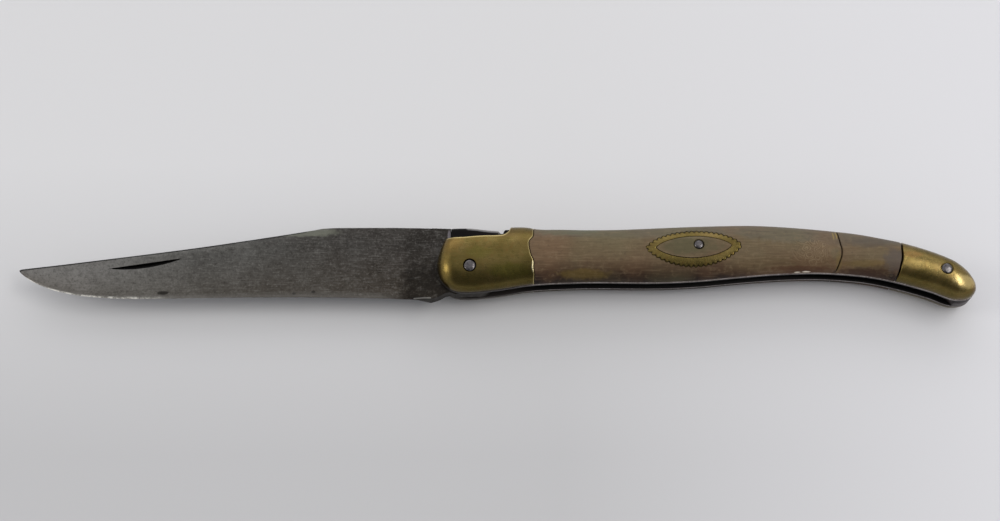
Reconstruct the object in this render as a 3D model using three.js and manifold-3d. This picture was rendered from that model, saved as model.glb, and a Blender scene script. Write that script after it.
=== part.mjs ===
// A slip joint folding pocket knife, lying open on its side.
// Millimetres. The pivot pin stands on the origin, the blade points along -X,
// the spring side is +Y, the belly side is -Y and the table is z = 0.
// A backspring fills the slot between two steel liners. Each liner carries a
// brass bolster, two pieces of horn, a brass butt cap and a brass inlay ring.

import * as THREE from 'three';
import { mergeVertices } from 'three/addons/utils/BufferGeometryUtils.js';
import Module from 'manifold-3d';

const wasm = await Module();
wasm.setup();

// Blade
const bladeLength = 101.15; // pivot to tip
const bladeThickness = 2.8;
const spineHeight = 10.8; // above the pivot
const spineFall = 0.33; // how far the spine drops towards its shoulder
const spineFallLength = 16;
const tipHeight = 0.62;
const tipRise = 0.33; // from the rounded tip up to the line of the clip
const tipRound = 0.9;
const edgeDepth = 5.85; // below the pivot
const clipLength = 67.6; // from the tip to the top of the sloping spine
const clipCurve = 0.22; // 0 is a straight slope
const bellyLength = 29.3; // from the tip to the straight part of the edge
const bellyFullness = 2.83;
const heelDistance = 8.6; // pivot to the end of the edge
const heelDrop = 0.5;
const edgeWear = 0.35; // how far sharpening has hollowed the edge
const edgeBevel = 1.1;
const heelBevel = 0.4;
const edgeShoulder = 0.55; // thickness where the edge bevel starts
const plungeLength = 6; // run-out of the grind before the heel
const tipThickness = 0.9;
const falseEdgeHeight = 1.3; // bevel along the back of the clip
const falseEdgeFlat = 1.1; // width left on the spine there

// Nail nick, cut by a cone shaped wheel
const nickFromTip = 27.45;
const nickHeight = 2.23;
const nickDepth = 0.6;
const nickWheelRadius = 62;
const nickWheelSlope = 0.6;
const nickTilt = 0.147;

// Tang
const tangHeight = 5; // pivot to each of the flats that the spring rests on
const tangLength = 5.7; // pivot to the rear face
const tangCorner = 3.5;
const shoulderDistance = 4.35; // pivot to the step that meets the spring's tip
const closingShortfall = 2.05; // degrees short of a half turn
const choilEnd = 3.4; // pivot to where the lower flat starts
// The notch behind the heel, in shares of the way from the heel to that flat
const choilShape = [[0.13, 0.12], [0.27, 0.35], [0.42, 0.68], [0.56, 1.05], [0.67, 1.25],
  [0.81, 1.3], [0.92, 1.2]];

// Stack of the handle
const slideClearance = 0.05; // each side of the blade and the spring
const linerThickness = 0.9;
const shellHeight = 3.85; // bolsters, horn and caps above the liner
const shellInset = 0.1; // the liner stands proud of the shell all round
const crownRound = 0.9; // 1 is an ellipse, less is fuller
const noseRound = 4;
const buttRound = 6.5;

// Pins
const pivotPinRadius = 1.2;
const pinRadius = 0.7;
const headRadius = 1.35;
const headFlat = 0.85;
const headDrop = 0.3;
const headTaper = 0.6;
const recessWidth = 0.15; // dark ring left round each head
const pinClearance = 0.05;
const middlePinX = 50.87;
const rearPinY = -0.78;
const rivetRadius = 0.8;
const rivetDepth = 2.4; // into the brass
const bolsterRivet = [10.2, 2.8];
const capRivetFromRearPin = [-4.4, 2.7];

// Handle outline: the nose and front from the pivot, the rest from the pin it surrounds
const nose = [-7.32, 0.8];
const bellyFront = [[-7.1, -0.7], [-6.45, -2.45], [-5.15, -3.9], [-3.5, -4.87], [-0.5, -5.2],
  [6, -4.58], [13.4, -3.42]];
const bellyMiddle = [[-26.3, -7.68], [-8.5, -7.58], [0.5, -7.12], [9.4, -6.27], [18.4, -5.6],
  [27.4, -5.42]];
const bellyRear = [[-18.3, -0.45], [-14, -1.15], [-9.6, -2.2], [-5.7, -3.35], [-2.4, -4.45],
  [-0.8, -5.15], [0.9, -5.85], [2.5, -6.2], [4.2, -6], [5.65, -5.2], [6.6, -4.1]];
const backFront = [[-7.15, 2.6], [-6.75, 4.4], [-6.1, 6.2], [-4.9, 8.2], [-2.4, 9.7], [2.6, 10.2],
  [9.4, 10.31], [11.5, 10.33], [13.2, 10.2], [14.8, 9.84], [16.6, 9.7]];
const backMiddle = [[-30.7, 4.79], [-24.5, 4.68], [-19, 4.72], [-14, 4.9], [-7.3, 5.19], [0, 5.5],
  [7, 5.68], [12.5, 5.7], [17.8, 5.46], [23.2, 5.04], [28.5, 4.5]];
const backRear = [[-18.9, 9.33], [-13.7, 8.31], [-8.4, 7.12], [-3.2, 5.45], [0.2, 4.07],
  [2.8, 2.6], [4.9, 0.62], [6.05, -0.95], [6.8, -1.75]];
const buttFromRearPin = [7.03, -2.6];

// Spring
const edgeRoom = 0.15; // between the closed blade's edge and the spring
const pinWall = 0.33;
const tipRoom = 1.5; // between the closed blade's tip and the spring's tail
const tailWall = 2.07;
const tailReach = 5; // how far the slot runs on under the tail, at the belly
const tailDrop = 1.6; // depth of the tail's upright face below the rear pin
const pocketRise = 1.0; // tip pocket above the rear pin
const padEnd = 5.2;
const padRun = 1.2; // from the pad up to the relieved underside
const springGap = 0.05; // between spring and tang, and at the shoulder
const flyHeight = 10.25;
const flyRearHeight = 9.82;
const flyEnd = 6.4;
const flyWidth = 6;
const flyNeckWidth = 4.2;
const flyFloor = 7.42; // underside of the fly's wings
const flyBevel = 0.7;
const notchHeight = 9.7;
const notchEnd = 9.7;

// Cut-out of the liners and bolsters for the fly, from front to rear
const cutLine = [[-1.3, 6.8], [0.8, 7.04], [2.9, 7.2], [6.4, 7.27], [7.6, 7.5], [8.35, 8.08],
  [8.82, 8.85], [9.12, 9.66]];
const cutEnd = 9.25;

// Seams, from belly to back: the bolster's from the pivot, the others from the rear pin
const seamGap = 0.12;
const bolsterSeamLine = [[14.3, -3], [14.3, -1.5], [14.17, -0.3], [14.15, 1.1], [13.88, 1.86],
  [13.53, 2.6], [13.3, 3.7], [13.13, 5.1], [13.27, 5.9], [13.85, 6.6], [14.13, 7.1], [14.2, 8.7]];
const hornSeamLine = [[-24.75, -0.2], [-24, 0.4], [-23.69, 1.07], [-23.41, 1.83], [-23.02, 3],
  [-22.88, 4.4], [-23.13, 5.6], [-23.34, 7.3], [-23.45, 8.5]];
const capSeamLine = [[-10.96, -2.05], [-10.66, -1.07], [-10.27, 0], [-10.02, 1.04], [-9.64, 2.55],
  [-9.52, 3.5], [-9.45, 4.9], [-9.22, 6.6]];

// Inlay ring: rise and drop from the line through its two points
const ringLength = 21.45;
const ringRise = 3.85;
const ringDrop = 4.5;
const ringWindowLength = 16.75;
const ringWindowRise = 2.5;
const ringWindowDrop = 2.6;
const ringFromMiddlePin = [-1.12, -0.55];
const ringFloor = 1.6; // left under the ring, above the liner
const ringFit = 0.05;
const ringTurn = 0.014;
const lensPoint = 1.45; // how drawn out the two points are
const scallopPitch = 0.8;
const scallopDepth = 0.25;

// Derived places
const halfSlot = bladeThickness / 2 + slideClearance;
const halfLiner = halfSlot + linerThickness;
const halfHandle = halfLiner + shellHeight;
const midPlane = halfHandle;
const closedAngle = THREE.MathUtils.degToRad(180 - closingShortfall);
const tailX = bladeLength + tipRoom;
const rearPinX = tailX + tailWall + pinRadius;
const roundSides = 16;
const farAway = 60; // size of the blocks that cut the shell

// Solids

function solidOf(geometry) {
  const bare = geometry.clone();
  bare.deleteAttribute('normal');
  bare.deleteAttribute('uv');
  const merged = mergeVertices(bare, 1e-4);
  return new wasm.Manifold(new wasm.Mesh({
    numProp: 3,
    vertProperties: new Float32Array(merged.attributes.position.array),
    triVerts: new Uint32Array(merged.index.array),
  }));
}

function geometryOf(solid) {
  const mesh = solid.getMesh();
  const geometry = new THREE.BufferGeometry();
  geometry.setAttribute('position', new THREE.BufferAttribute(mesh.vertProperties, 3));
  geometry.setIndex(new THREE.BufferAttribute(mesh.triVerts, 1));
  return geometry;
}

// Skin over rings of equal length, each closed and clockwise seen from +X.
function loft(rings) {
  const count = rings[0].length;
  const positions = rings.flat().flatMap((p) => [p.x, p.y, p.z]);
  const index = [];
  for (let i = 0; i + 1 < rings.length; i += 1) {
    for (let j = 0; j < count; j += 1) {
      const a = i * count + j;
      const b = i * count + (j + 1) % count;
      index.push(a, b, a + count, b, b + count, a + count);
    }
  }
  const last = (rings.length - 1) * count;
  for (let j = 1; j + 1 < count; j += 1) {
    index.push(0, j + 1, j, last, last + j, last + j + 1);
  }
  const geometry = new THREE.BufferGeometry();
  geometry.setAttribute('position', new THREE.Float32BufferAttribute(positions, 3));
  geometry.setIndex(index);
  return geometry;
}

// Flat plate with the given outline between two heights.
function plate(points, bottom, top) {
  const shape = new THREE.Shape(points);
  const geometry = new THREE.ExtrudeGeometry(shape, { depth: top - bottom, bevelEnabled: false });
  geometry.translate(0, 0, bottom);
  return geometry;
}

function slab(points, halfWidth) {
  return plate(points, midPlane - halfWidth, midPlane + halfWidth);
}

function turned(profile, x, y) {
  const points = profile.map(([radius, height]) => new THREE.Vector2(radius, height));
  const geometry = new THREE.LatheGeometry(points, roundSides);
  geometry.rotateX(Math.PI / 2);
  geometry.translate(x, y, 0);
  return geometry;
}

function mirrored(geometry) {
  const copy = geometry.clone();
  copy.scale(1, 1, -1);
  copy.translate(0, 0, 2 * midPlane);
  const index = copy.index.array;
  for (let i = 0; i < index.length; i += 3) {
    [index[i + 1], index[i + 2]] = [index[i + 2], index[i + 1]];
  }
  return copy;
}

// Curves

const point = (x, y) => new THREE.Vector2(x, y);

function smooth(points, divisions) {
  const through = points.map(([x, y]) => new THREE.Vector3(x, y, 0));
  const curve = new THREE.CatmullRomCurve3(through, false, 'centripetal');
  return curve.getPoints(divisions).map((p) => point(p.x, p.y));
}

function heightAt(line, x) {
  const next = line.findIndex((p) => p.x >= x);
  if (next < 0) {
    return line[line.length - 1].y;
  }
  if (next === 0) {
    return line[0].y;
  }
  const before = line[next - 1];
  const after = line[next];
  return THREE.MathUtils.mapLinear(x, before.x, after.x, before.y, after.y);
}

function arc(centreX, centreY, radius, from, to, steps) {
  const points = [];
  for (let i = 0; i <= steps; i += 1) {
    const angle = from + (to - from) * i / steps;
    points.push(point(centreX + radius * Math.cos(angle), centreY + radius * Math.sin(angle)));
  }
  return points;
}

// Stations crowd together at both ends, where an outline turns round.
function stations(from, to, count) {
  const places = [];
  for (let i = 1; i < count; i += 1) {
    const share = i / count;
    const eased = share - 0.95 * Math.sin(2 * Math.PI * share) / (2 * Math.PI);
    places.push(from + (to - from) * eased);
  }
  return places;
}

// Blade outline

function spineAt(x) {
  const fromTip = x + bladeLength;
  const share = Math.min(1, fromTip / clipLength);
  const slope = share * (1 - clipCurve) + share ** 2 * clipCurve;
  const lineStart = tipHeight + tipRise;
  const line = lineStart + (spineHeight - lineStart) * slope;
  const tip = 1 - Math.min(1, fromTip / tipRound);
  const fall = Math.max(0, 1 + (x + shoulderDistance) / spineFallLength);
  return line - tipRise * (1 - Math.sqrt(1 - tip ** 2)) - spineFall * fall ** 2;
}

function edgeAt(x) {
  const fromTip = x + bladeLength;
  if (fromTip < bellyLength) {
    const share = (fromTip / bellyLength) ** 0.85;
    return tipHeight - (tipHeight + edgeDepth) * (1 - (1 - share) ** bellyFullness);
  }
  const run = bladeLength - bellyLength - heelDistance;
  const share = (fromTip - bellyLength) / run;
  return edgeWear * Math.sin(Math.PI * share) - heelDrop * share ** 9 - edgeDepth;
}

function bladeRing(x) {
  const top = spineAt(x);
  const edge = edgeAt(x);
  const fromTip = x + bladeLength;
  const taper = Math.min(1, fromTip / (bladeLength - 2 * heelDistance));
  const half = THREE.MathUtils.lerp(tipThickness, bladeThickness, taper ** 0.7) / 2;
  const plunge = THREE.MathUtils.smoothstep(x, -heelDistance - plungeLength, -heelDistance);
  const shoulder = THREE.MathUtils.lerp(Math.min(edgeShoulder / 2, half * 0.7), half, plunge);
  const nearHeel = THREE.MathUtils.smoothstep(x, -heelDistance - 2 * plungeLength, -heelDistance);
  const bevel = Math.min(THREE.MathUtils.lerp(edgeBevel, heelBevel, nearHeel), (top - edge) * 0.3);
  const onClip = THREE.MathUtils.smoothstep(fromTip, clipLength * 0.25, clipLength * 0.6)
    * (1 - THREE.MathUtils.smoothstep(fromTip, clipLength * 0.97, clipLength * 1.06));
  const spineHalf = THREE.MathUtils.lerp(half * 0.9, Math.min(half, falseEdgeFlat / 2), onClip);
  const drop = THREE.MathUtils.lerp((top - edge) * 0.02, falseEdgeHeight, onClip);
  const side = [[top, spineHalf], [top - drop, half], [edge + bevel, shoulder]];
  const ring = side.map(([y, z]) => new THREE.Vector3(x, y, midPlane + z));
  ring.push(new THREE.Vector3(x, edge, midPlane));
  side.reverse().forEach(([y, z]) => ring.push(new THREE.Vector3(x, y, midPlane - z)));
  return ring;
}

function tangOutline() {
  const tilt = THREE.MathUtils.degToRad(closingShortfall);
  const lowerFlat = (x) => (x * Math.sin(tilt) - tangHeight) / Math.cos(tilt);
  const cornerX = tangLength - tangCorner;
  const lowerCornerY = (cornerX * Math.sin(tilt) - tangHeight + tangCorner) / Math.cos(tilt);
  const upperCorner = arc(cornerX, tangHeight - tangCorner, tangCorner, Math.PI / 2, 0, 6);
  const lowerCorner = arc(cornerX, lowerCornerY, tangCorner, 0, tilt - Math.PI / 2, 6);
  const heelY = edgeAt(-heelDistance) + 0.1;
  const choil = choilShape.map(([along, up]) => point(
    THREE.MathUtils.lerp(-heelDistance, -choilEnd, along),
    THREE.MathUtils.lerp(heelY, lowerFlat(-choilEnd), up),
  ));
  const middle = -(heelDistance + shoulderDistance) / 2;
  return [
    point(-heelDistance, spineAt(-heelDistance)),
    point(middle, spineAt(middle)),
    point(-shoulderDistance, spineAt(-shoulderDistance)),
    point(-shoulderDistance, tangHeight),
    ...upperCorner,
    ...lowerCorner,
    point(-choilEnd, lowerFlat(-choilEnd)),
    ...choil.reverse(),
    point(-heelDistance, heelY),
  ];
}

function nickCutter() {
  const depth = 3;
  const wheel = new THREE.LatheGeometry([
    point(0, -depth),
    point(nickWheelRadius - nickWheelSlope * depth, -depth),
    point(nickWheelRadius, 0),
    point(0, 0),
  ], 200);
  const x = nickFromTip - bladeLength;
  const [, upper, lower] = bladeRing(x);
  const face = THREE.MathUtils.mapLinear(nickHeight, lower.y, upper.y, lower.z, upper.z);
  wheel.rotateZ(nickTilt);
  wheel.translate(x, nickHeight, face - nickDepth + nickWheelRadius);
  return wheel;
}

function bladeGeometry() {
  const start = 0.05 - bladeLength;
  const places = [start, ...stations(start, -heelDistance, 44), -heelDistance];
  const rings = places.map(bladeRing);
  const tang = solidOf(slab(tangOutline(), bladeThickness / 2));
  const hole = [[0, -1], [pivotPinRadius + pinClearance, -1]];
  hole.push([pivotPinRadius + pinClearance, 2 * midPlane + 1], [0, 2 * midPlane + 1]);
  return geometryOf(solidOf(loft(rings))
    .add(tang)
    .subtract(solidOf(nickCutter()))
    .subtract(solidOf(turned(hole, 0, 0))));
}

// Line of the closed blade's edge, which the spring's underside clears.
function closedEdgeLine() {
  const line = [];
  for (let x = -heelDistance; x > -bladeLength; x -= 1) {
    const y = edgeAt(x);
    line.push(point(
      x * Math.cos(closedAngle) - y * Math.sin(closedAngle),
      x * Math.sin(closedAngle) + y * Math.cos(closedAngle),
    ));
  }
  return line;
}

const closedEdge = closedEdgeLine();
const middlePinY = heightAt(closedEdge, middlePinX) + edgeRoom + pinWall + pinRadius;

// Handle outline, given from the pin that each stretch surrounds

const aroundMiddle = ([x, y]) => [middlePinX + x, middlePinY + y];
const aroundRear = ([x, y]) => [rearPinX + x, rearPinY + y];

const butt = aroundRear(buttFromRearPin);
const lineSteps = 400;
const belly = smooth([nose, ...bellyFront, ...bellyMiddle.map(aroundMiddle),
  ...bellyRear.map(aroundRear), butt], lineSteps);
const back = smooth([nose, ...backFront, ...backMiddle.map(aroundMiddle),
  ...backRear.map(aroundRear), butt], lineSteps);
const handleStations = stations(nose[0], butt[0], 46);

function handleOutline() {
  const under = handleStations.map((x) => point(x, heightAt(belly, x)));
  const over = handleStations.map((x) => point(x, heightAt(back, x)));
  return [point(...nose), ...under, point(...butt), ...over.reverse()];
}

// Room for the fly in the liners and bolsters, open to the back.
function cutOutline() {
  return [
    point(nose[0] - 5, cutLine[0][1]),
    ...smooth(cutLine, 20),
    point(cutEnd, farAway),
    point(nose[0] - 5, farAway),
  ];
}

// One half of the handle's domed outside, above the upper liner.
function shellGeometry() {
  const arcSteps = 12;
  const rings = handleStations.map((x) => {
    const low = heightAt(belly, x) + shellInset;
    const high = heightAt(back, x) - shellInset;
    const fromNose = Math.min(1, (x - nose[0]) / noseRound);
    const fromButt = Math.min(1, (butt[0] - x) / buttRound);
    const rise = Math.sqrt(1 - (1 - fromNose) ** 2) * Math.sqrt(1 - (1 - fromButt) ** 2);
    const ring = [];
    for (let i = 0; i <= arcSteps; i += 1) {
      const angle = i * Math.PI / arcSteps;
      const across = Math.sign(Math.cos(angle)) * Math.abs(Math.cos(angle)) ** crownRound;
      const up = Math.max(0, Math.sin(angle)) ** crownRound;
      const y = (low + high) / 2 - across * (high - low) / 2;
      const z = midPlane + halfLiner + up * rise * shellHeight;
      ring.push(new THREE.Vector3(x, y, i % arcSteps === 0 ? midPlane + halfLiner : z));
    }
    return ring.reverse();
  });
  return loft(rings);
}

// Seams, each a line across the handle that runs on past both of its ends

function seam(line) {
  const first = line[0];
  const last = line[line.length - 1];
  return smooth([[first[0], -farAway], ...line, [last[0], farAway]], 5 * line.length);
}

const bolsterSeam = seam(bolsterSeamLine);
const hornSeam = seam(hornSeamLine.map(aroundRear));
const capSeam = seam(capSeamLine.map(aroundRear));

// Block that covers everything between two seams.
function between(left, right) {
  const leftSide = left.map((p) => point(p.x + seamGap / 2, p.y));
  const rightSide = right.map((p) => point(p.x - seamGap / 2, p.y));
  const outline = [...rightSide, ...leftSide.reverse()];
  return solidOf(plate(outline, 0, 2 * midPlane + 1));
}

const beforeNose = [point(-farAway, -farAway), point(-farAway, farAway)];
const pastButt = [point(rearPinX + farAway, -farAway), point(rearPinX + farAway, farAway)];

// Inlay ring outline, with a scalloped rim when a depth is given

function lensOutline(length, rise, drop, grow, depth) {
  const [offsetX, offsetY] = ringFromMiddlePin;
  const cardinal = [];
  const steps = 12;
  for (let i = 0; i < 2 * steps; i += 1) {
    const angle = i * Math.PI / steps;
    const x = Math.cos(angle) * length / 2;
    const up = i % steps === 0 ? 0 : Math.sin(angle);
    cardinal.push(new THREE.Vector3(x, Math.abs(up) ** lensPoint * (up > 0 ? rise : -drop), 0));
  }
  const curve = new THREE.CatmullRomCurve3(cardinal, true, 'centripetal');
  const scallops = Math.round(curve.getLength() / scallopPitch / 2) * 2;
  const samples = depth > 0 ? scallops * 3 : 40;
  const outline = [];
  for (let i = 0; i < samples; i += 1) {
    const along = i / samples;
    const at = curve.getPointAt(along);
    const way = curve.getTangentAt(along);
    const out = grow + depth * Math.sin(Math.PI * (i % 3) / 3);
    outline.push(point(at.x + way.y * out, at.y - way.x * out)
      .rotateAround(point(0, 0), ringTurn)
      .add(point(middlePinX + offsetX, middlePinY + offsetY)));
  }
  return outline;
}

function ringBlock(fit) {
  const rim = lensOutline(ringLength - 2 * scallopDepth, ringRise - scallopDepth,
    ringDrop - scallopDepth, fit, scallopDepth);
  const window = lensOutline(ringWindowLength, ringWindowRise, ringWindowDrop, -fit, 0);
  const floor = midPlane + halfLiner + ringFloor - fit;
  return solidOf(plate(rim, floor, 2 * midPlane + 1))
    .subtract(solidOf(plate(window, floor - 1, 2 * midPlane + 2)));
}

// Spring

function springOutline() {
  const padY = tangHeight + springGap;
  const noseX = springGap * 2 - shoulderDistance;
  const pocketTop = rearPinY + pocketRise;
  const under = [];
  const start = heelDistance + 1;
  const steps = 30;
  for (let i = 0; i <= steps; i += 1) {
    const x = start + (tailX - start) * i / steps;
    under.push(point(x, Math.max(pocketTop, heightAt(closedEdge, x) + edgeRoom)));
  }
  const tailBelly = tailX + tailReach;
  const rearStations = handleStations.filter((x) => x > tailBelly);
  const topStations = handleStations.filter((x) => x > notchEnd + 1);
  return [
    point(noseX, padY),
    point(padEnd, padY),
    point(padEnd + padRun, heightAt(closedEdge, start) + edgeRoom + 0.2),
    ...under,
    point(tailX, rearPinY - tailDrop),
    point(tailBelly, heightAt(belly, tailBelly)),
    ...rearStations.map((x) => point(x, heightAt(belly, x))),
    point(...butt),
    ...topStations.reverse().map((x) => point(x, heightAt(back, x))),
    point(notchEnd, heightAt(back, notchEnd)),
    point(cutEnd - 0.3, notchHeight + 0.2),
    point((flyEnd + cutEnd) / 2, notchHeight),
    point(flyEnd, flyRearHeight),
    point(flyEnd * 0.3, flyHeight - 0.25),
    point(noseX + 3, flyHeight),
    point(noseX, flyHeight),
  ];
}

// The fly is the spring's forged front end, wider than the spring.
function flyGeometry() {
  const noseX = springGap * 2 - shoulderDistance;
  const rings = [];
  const steps = 10;
  for (let i = 0; i <= steps; i += 1) {
    const share = i / steps;
    const x = noseX + (flyEnd - noseX) * share;
    const top = THREE.MathUtils.lerp(flyHeight, flyRearHeight, THREE.MathUtils.smoothstep(share, 0.3, 0.9));
    const belled = Math.sin(Math.PI * (0.28 + 0.6 * share));
    const half = THREE.MathUtils.lerp(flyNeckWidth, flyWidth, belled) / 2;
    const edge = Math.min(flyBevel, half * 0.4);
    const side = [[flyFloor, half], [top - edge, half], [top - edge * 0.3, half - edge * 0.6],
      [top, half - edge * 1.5]];
    const ring = side.map(([y, z]) => new THREE.Vector3(x, y, midPlane + z));
    side.reverse().forEach(([y, z]) => ring.push(new THREE.Vector3(x, y, midPlane - z)));
    rings.push(ring.reverse());
  }
  return loft(rings);
}

// Pins

function pinProfile(radius, grow) {
  const top = 2 * midPlane;
  return [
    [0, 0],
    [headFlat, 0],
    [headRadius + grow, headDrop],
    [radius + grow, headDrop + headTaper],
    [radius + grow, top - headDrop - headTaper],
    [headRadius + grow, top - headDrop],
    [headFlat, top],
    [0, top],
  ];
}

// Hole for a pin, with a recess round each head.
function pinHole(radius, x, y) {
  const top = 2 * midPlane;
  const wide = headRadius + recessWidth;
  const middle = pinProfile(radius, pinClearance).slice(3, 5);
  return solidOf(turned([
    [0, -1],
    [wide, -1],
    [wide, headDrop],
    ...middle,
    [wide, top - headDrop],
    [wide, top + 1],
    [0, top + 1],
  ], x, y));
}

function rivetHole(x, y, grow) {
  const radius = rivetRadius + grow;
  const from = midPlane + halfSlot - grow;
  const to = midPlane + halfLiner + rivetDepth + grow;
  return turned([[0, from], [radius, from], [radius, to], [0, to]], x, y);
}

const capRivet = aroundRear(capRivetFromRearPin);
const pinHoles = pinHole(pivotPinRadius, 0, 0)
  .add(pinHole(pinRadius, middlePinX, middlePinY))
  .add(pinHole(pinRadius, rearPinX, rearPinY));
const rivetHoles = solidOf(rivetHole(...bolsterRivet, pinClearance))
  .add(solidOf(rivetHole(...capRivet, pinClearance)));
const cutOut = solidOf(plate(cutOutline(), -1, 2 * midPlane + 1));

// Pieces of one side, above the mid plane

function linerGeometry() {
  const blank = plate(handleOutline(), midPlane + halfSlot, midPlane + halfLiner);
  return geometryOf(solidOf(blank).subtract(cutOut).subtract(pinHoles).subtract(rivetHoles));
}

const shell = solidOf(shellGeometry()).subtract(cutOut).subtract(pinHoles).subtract(rivetHoles);

function springGeometry() {
  const blank = solidOf(slab(springOutline(), halfSlot - slideClearance));
  return geometryOf(blank.add(solidOf(flyGeometry())).subtract(pinHoles));
}

// Finishes

const steel = new THREE.MeshStandardMaterial({ color: 0x5f5e5c, roughness: 0.5, metalness: 1 });
const darkSteel = new THREE.MeshStandardMaterial({ color: 0x3a3432, roughness: 0.6, metalness: 1 });
const linerSteel = new THREE.MeshStandardMaterial({ color: 0x6a6058, roughness: 0.5, metalness: 1 });
const pinSteel = new THREE.MeshStandardMaterial({ color: 0x8c8890, roughness: 0.4, metalness: 1 });
const brass = new THREE.MeshStandardMaterial({ color: 0x73694e, roughness: 0.45, metalness: 1 });
const horn = new THREE.MeshStandardMaterial({ color: 0x6e6652, roughness: 0.6, metalness: 0 });

function named(name, geometry, material) {
  const mesh = new THREE.Mesh(geometry, material);
  mesh.name = name;
  return mesh;
}

const sidePieces = [
  ['liner', linerGeometry(), linerSteel],
  ['bolster', geometryOf(shell.intersect(between(beforeNose, bolsterSeam))), brass],
  ['scale', geometryOf(shell.intersect(between(bolsterSeam, hornSeam)).subtract(ringBlock(ringFit))), horn],
  ['rear_scale', geometryOf(shell.intersect(between(hornSeam, capSeam))), horn],
  ['end_cap', geometryOf(shell.intersect(between(capSeam, pastButt))), brass],
  ['inlay_ring', geometryOf(shell.intersect(ringBlock(0))), brass],
  ['bolster_rivet', rivetHole(...bolsterRivet, 0), brass],
  ['cap_rivet', rivetHole(...capRivet, 0), brass],
];

const handle = new THREE.Group();
for (const [name, geometry, material] of sidePieces) {
  handle.add(named(`upper_${name}`, geometry, material));
  handle.add(named(`lower_${name}`, mirrored(geometry), material));
}
handle.add(named('backspring', springGeometry(), darkSteel));
handle.add(named('pivot_pin', turned(pinProfile(pivotPinRadius, 0), 0, 0), pinSteel));
handle.add(named('middle_pin', turned(pinProfile(pinRadius, 0), middlePinX, middlePinY), pinSteel));
handle.add(named('rear_pin', turned(pinProfile(pinRadius, 0), rearPinX, rearPinY), pinSteel));

const blade = new THREE.Group();
blade.add(named('blade', bladeGeometry(), steel));

const knife = new THREE.Group();
knife.add(handle, blade);

export default knife;
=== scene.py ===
# Old folding pocket knife, lying open on a pale table.
# The frame is in metres. Sizes in this script are in millimetres until a mesh is made.
import math

import bmesh
import bpy
import numpy as np
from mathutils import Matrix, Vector, noise


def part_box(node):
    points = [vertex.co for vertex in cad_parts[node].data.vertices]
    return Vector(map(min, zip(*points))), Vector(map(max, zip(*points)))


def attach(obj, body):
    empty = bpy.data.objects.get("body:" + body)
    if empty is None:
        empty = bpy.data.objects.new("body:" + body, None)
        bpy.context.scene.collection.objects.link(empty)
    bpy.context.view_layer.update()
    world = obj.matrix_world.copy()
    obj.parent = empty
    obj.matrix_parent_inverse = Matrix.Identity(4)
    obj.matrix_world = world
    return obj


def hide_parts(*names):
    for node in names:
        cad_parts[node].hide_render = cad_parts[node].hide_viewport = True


mm = 0.001
far = 60  # further than anything on the knife reaches
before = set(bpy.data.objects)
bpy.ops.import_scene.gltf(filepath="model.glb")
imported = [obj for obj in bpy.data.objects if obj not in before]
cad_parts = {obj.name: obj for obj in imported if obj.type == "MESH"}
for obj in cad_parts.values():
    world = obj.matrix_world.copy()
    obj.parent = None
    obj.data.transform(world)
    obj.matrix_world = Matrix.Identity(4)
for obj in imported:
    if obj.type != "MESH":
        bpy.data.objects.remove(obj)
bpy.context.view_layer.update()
scene = bpy.context.scene
scene.view_settings.view_transform = "Standard"


def boxOf(node):
    low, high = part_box(node)
    return np.array(low) / mm, np.array(high) / mm


def middleOf(node):
    low, high = boxOf(node)
    return (low + high) / 2


# places read from the frame
linerLow, linerHigh = boxOf("upper_liner")
crown = boxOf("upper_scale")[1][2]
midPlane = middleOf("pivot_pin")[2]
linerTop, slotTop = linerHigh[2], linerLow[2]
middlePin = middleOf("middle_pin")
rearPin = middleOf("rear_pin")
noseX = linerLow[0]
bladeTip = boxOf("blade")[0][0]

# The outline runs from the nose to the butt. The front rows are measured from the pivot pin,
# the middle rows from the middle pin, and the rear rows and the butt from the rear pin.
handle = {
    "nose": (-7.32, 0.8),
    "butt": (6.9, -3.2),
    "bellyFront": [(-7.1, -0.7), (-6.45, -2.45), (-5.15, -3.9), (-3.5, -4.87), (-0.5, -5.2),
                   (6, -4.58), (13.4, -3.42)],
    "bellyMiddle": [(-26.3, -7.73), (-8.5, -7.74), (0.5, -7.3), (9.4, -6.43), (18.4, -5.72),
                    (27.4, -5.5)],
    "bellyRear": [(-18.3, -0.45), (-14, -1.15), (-9.6, -2.2), (-5.7, -3.35), (-2.4, -4.45),
                  (-0.8, -5.15), (0.9, -5.85), (2.5, -6.2), (4.2, -6.1), (5.3, -5.75),
                  (6.2, -5.05), (6.75, -4.15)],
    "backFront": [(-7.15, 2.6), (-6.75, 4.4), (-6.1, 6.2), (-4.9, 8.2), (-2.4, 9.7),
                  (2.6, 10.2), (9.4, 10.31), (11.5, 10.33), (13.2, 10.2), (14.8, 9.84),
                  (16.6, 9.7)],
    "backMiddle": [(-30.7, 4.79), (-24.5, 4.68), (-19, 4.72), (-14, 4.9), (-7.3, 5.19),
                   (0, 5.5), (7, 5.68), (12.5, 5.7), (17.8, 5.46), (23.2, 5.04), (28.5, 4.5)],
    "backRear": [(-18.9, 9.33), (-13.7, 8.31), (-8.4, 7.12), (-3.2, 5.45), (0.2, 4.07),
                 (2.8, 2.65), (4.95, 0.75), (5.85, -0.45), (6.42, -1.4), (6.77, -2.3)],
    "inset": 0.1,  # of the brass and horn from the liner's edge
    "fullness": 0.9,  # 1 is an ellipse in section
    "noseRound": 4,  # length of the rounded ends, seen from the side
    "buttRound": 5.6,
    "brassDents": 0.06,
    "hornDents": 0.03,
    "station": 0.5,  # between sections, closer at the ends
    "archSteps": 52,
    "knee": 0.62,  # below this share of the arch the cut-out changes nothing
}


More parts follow.
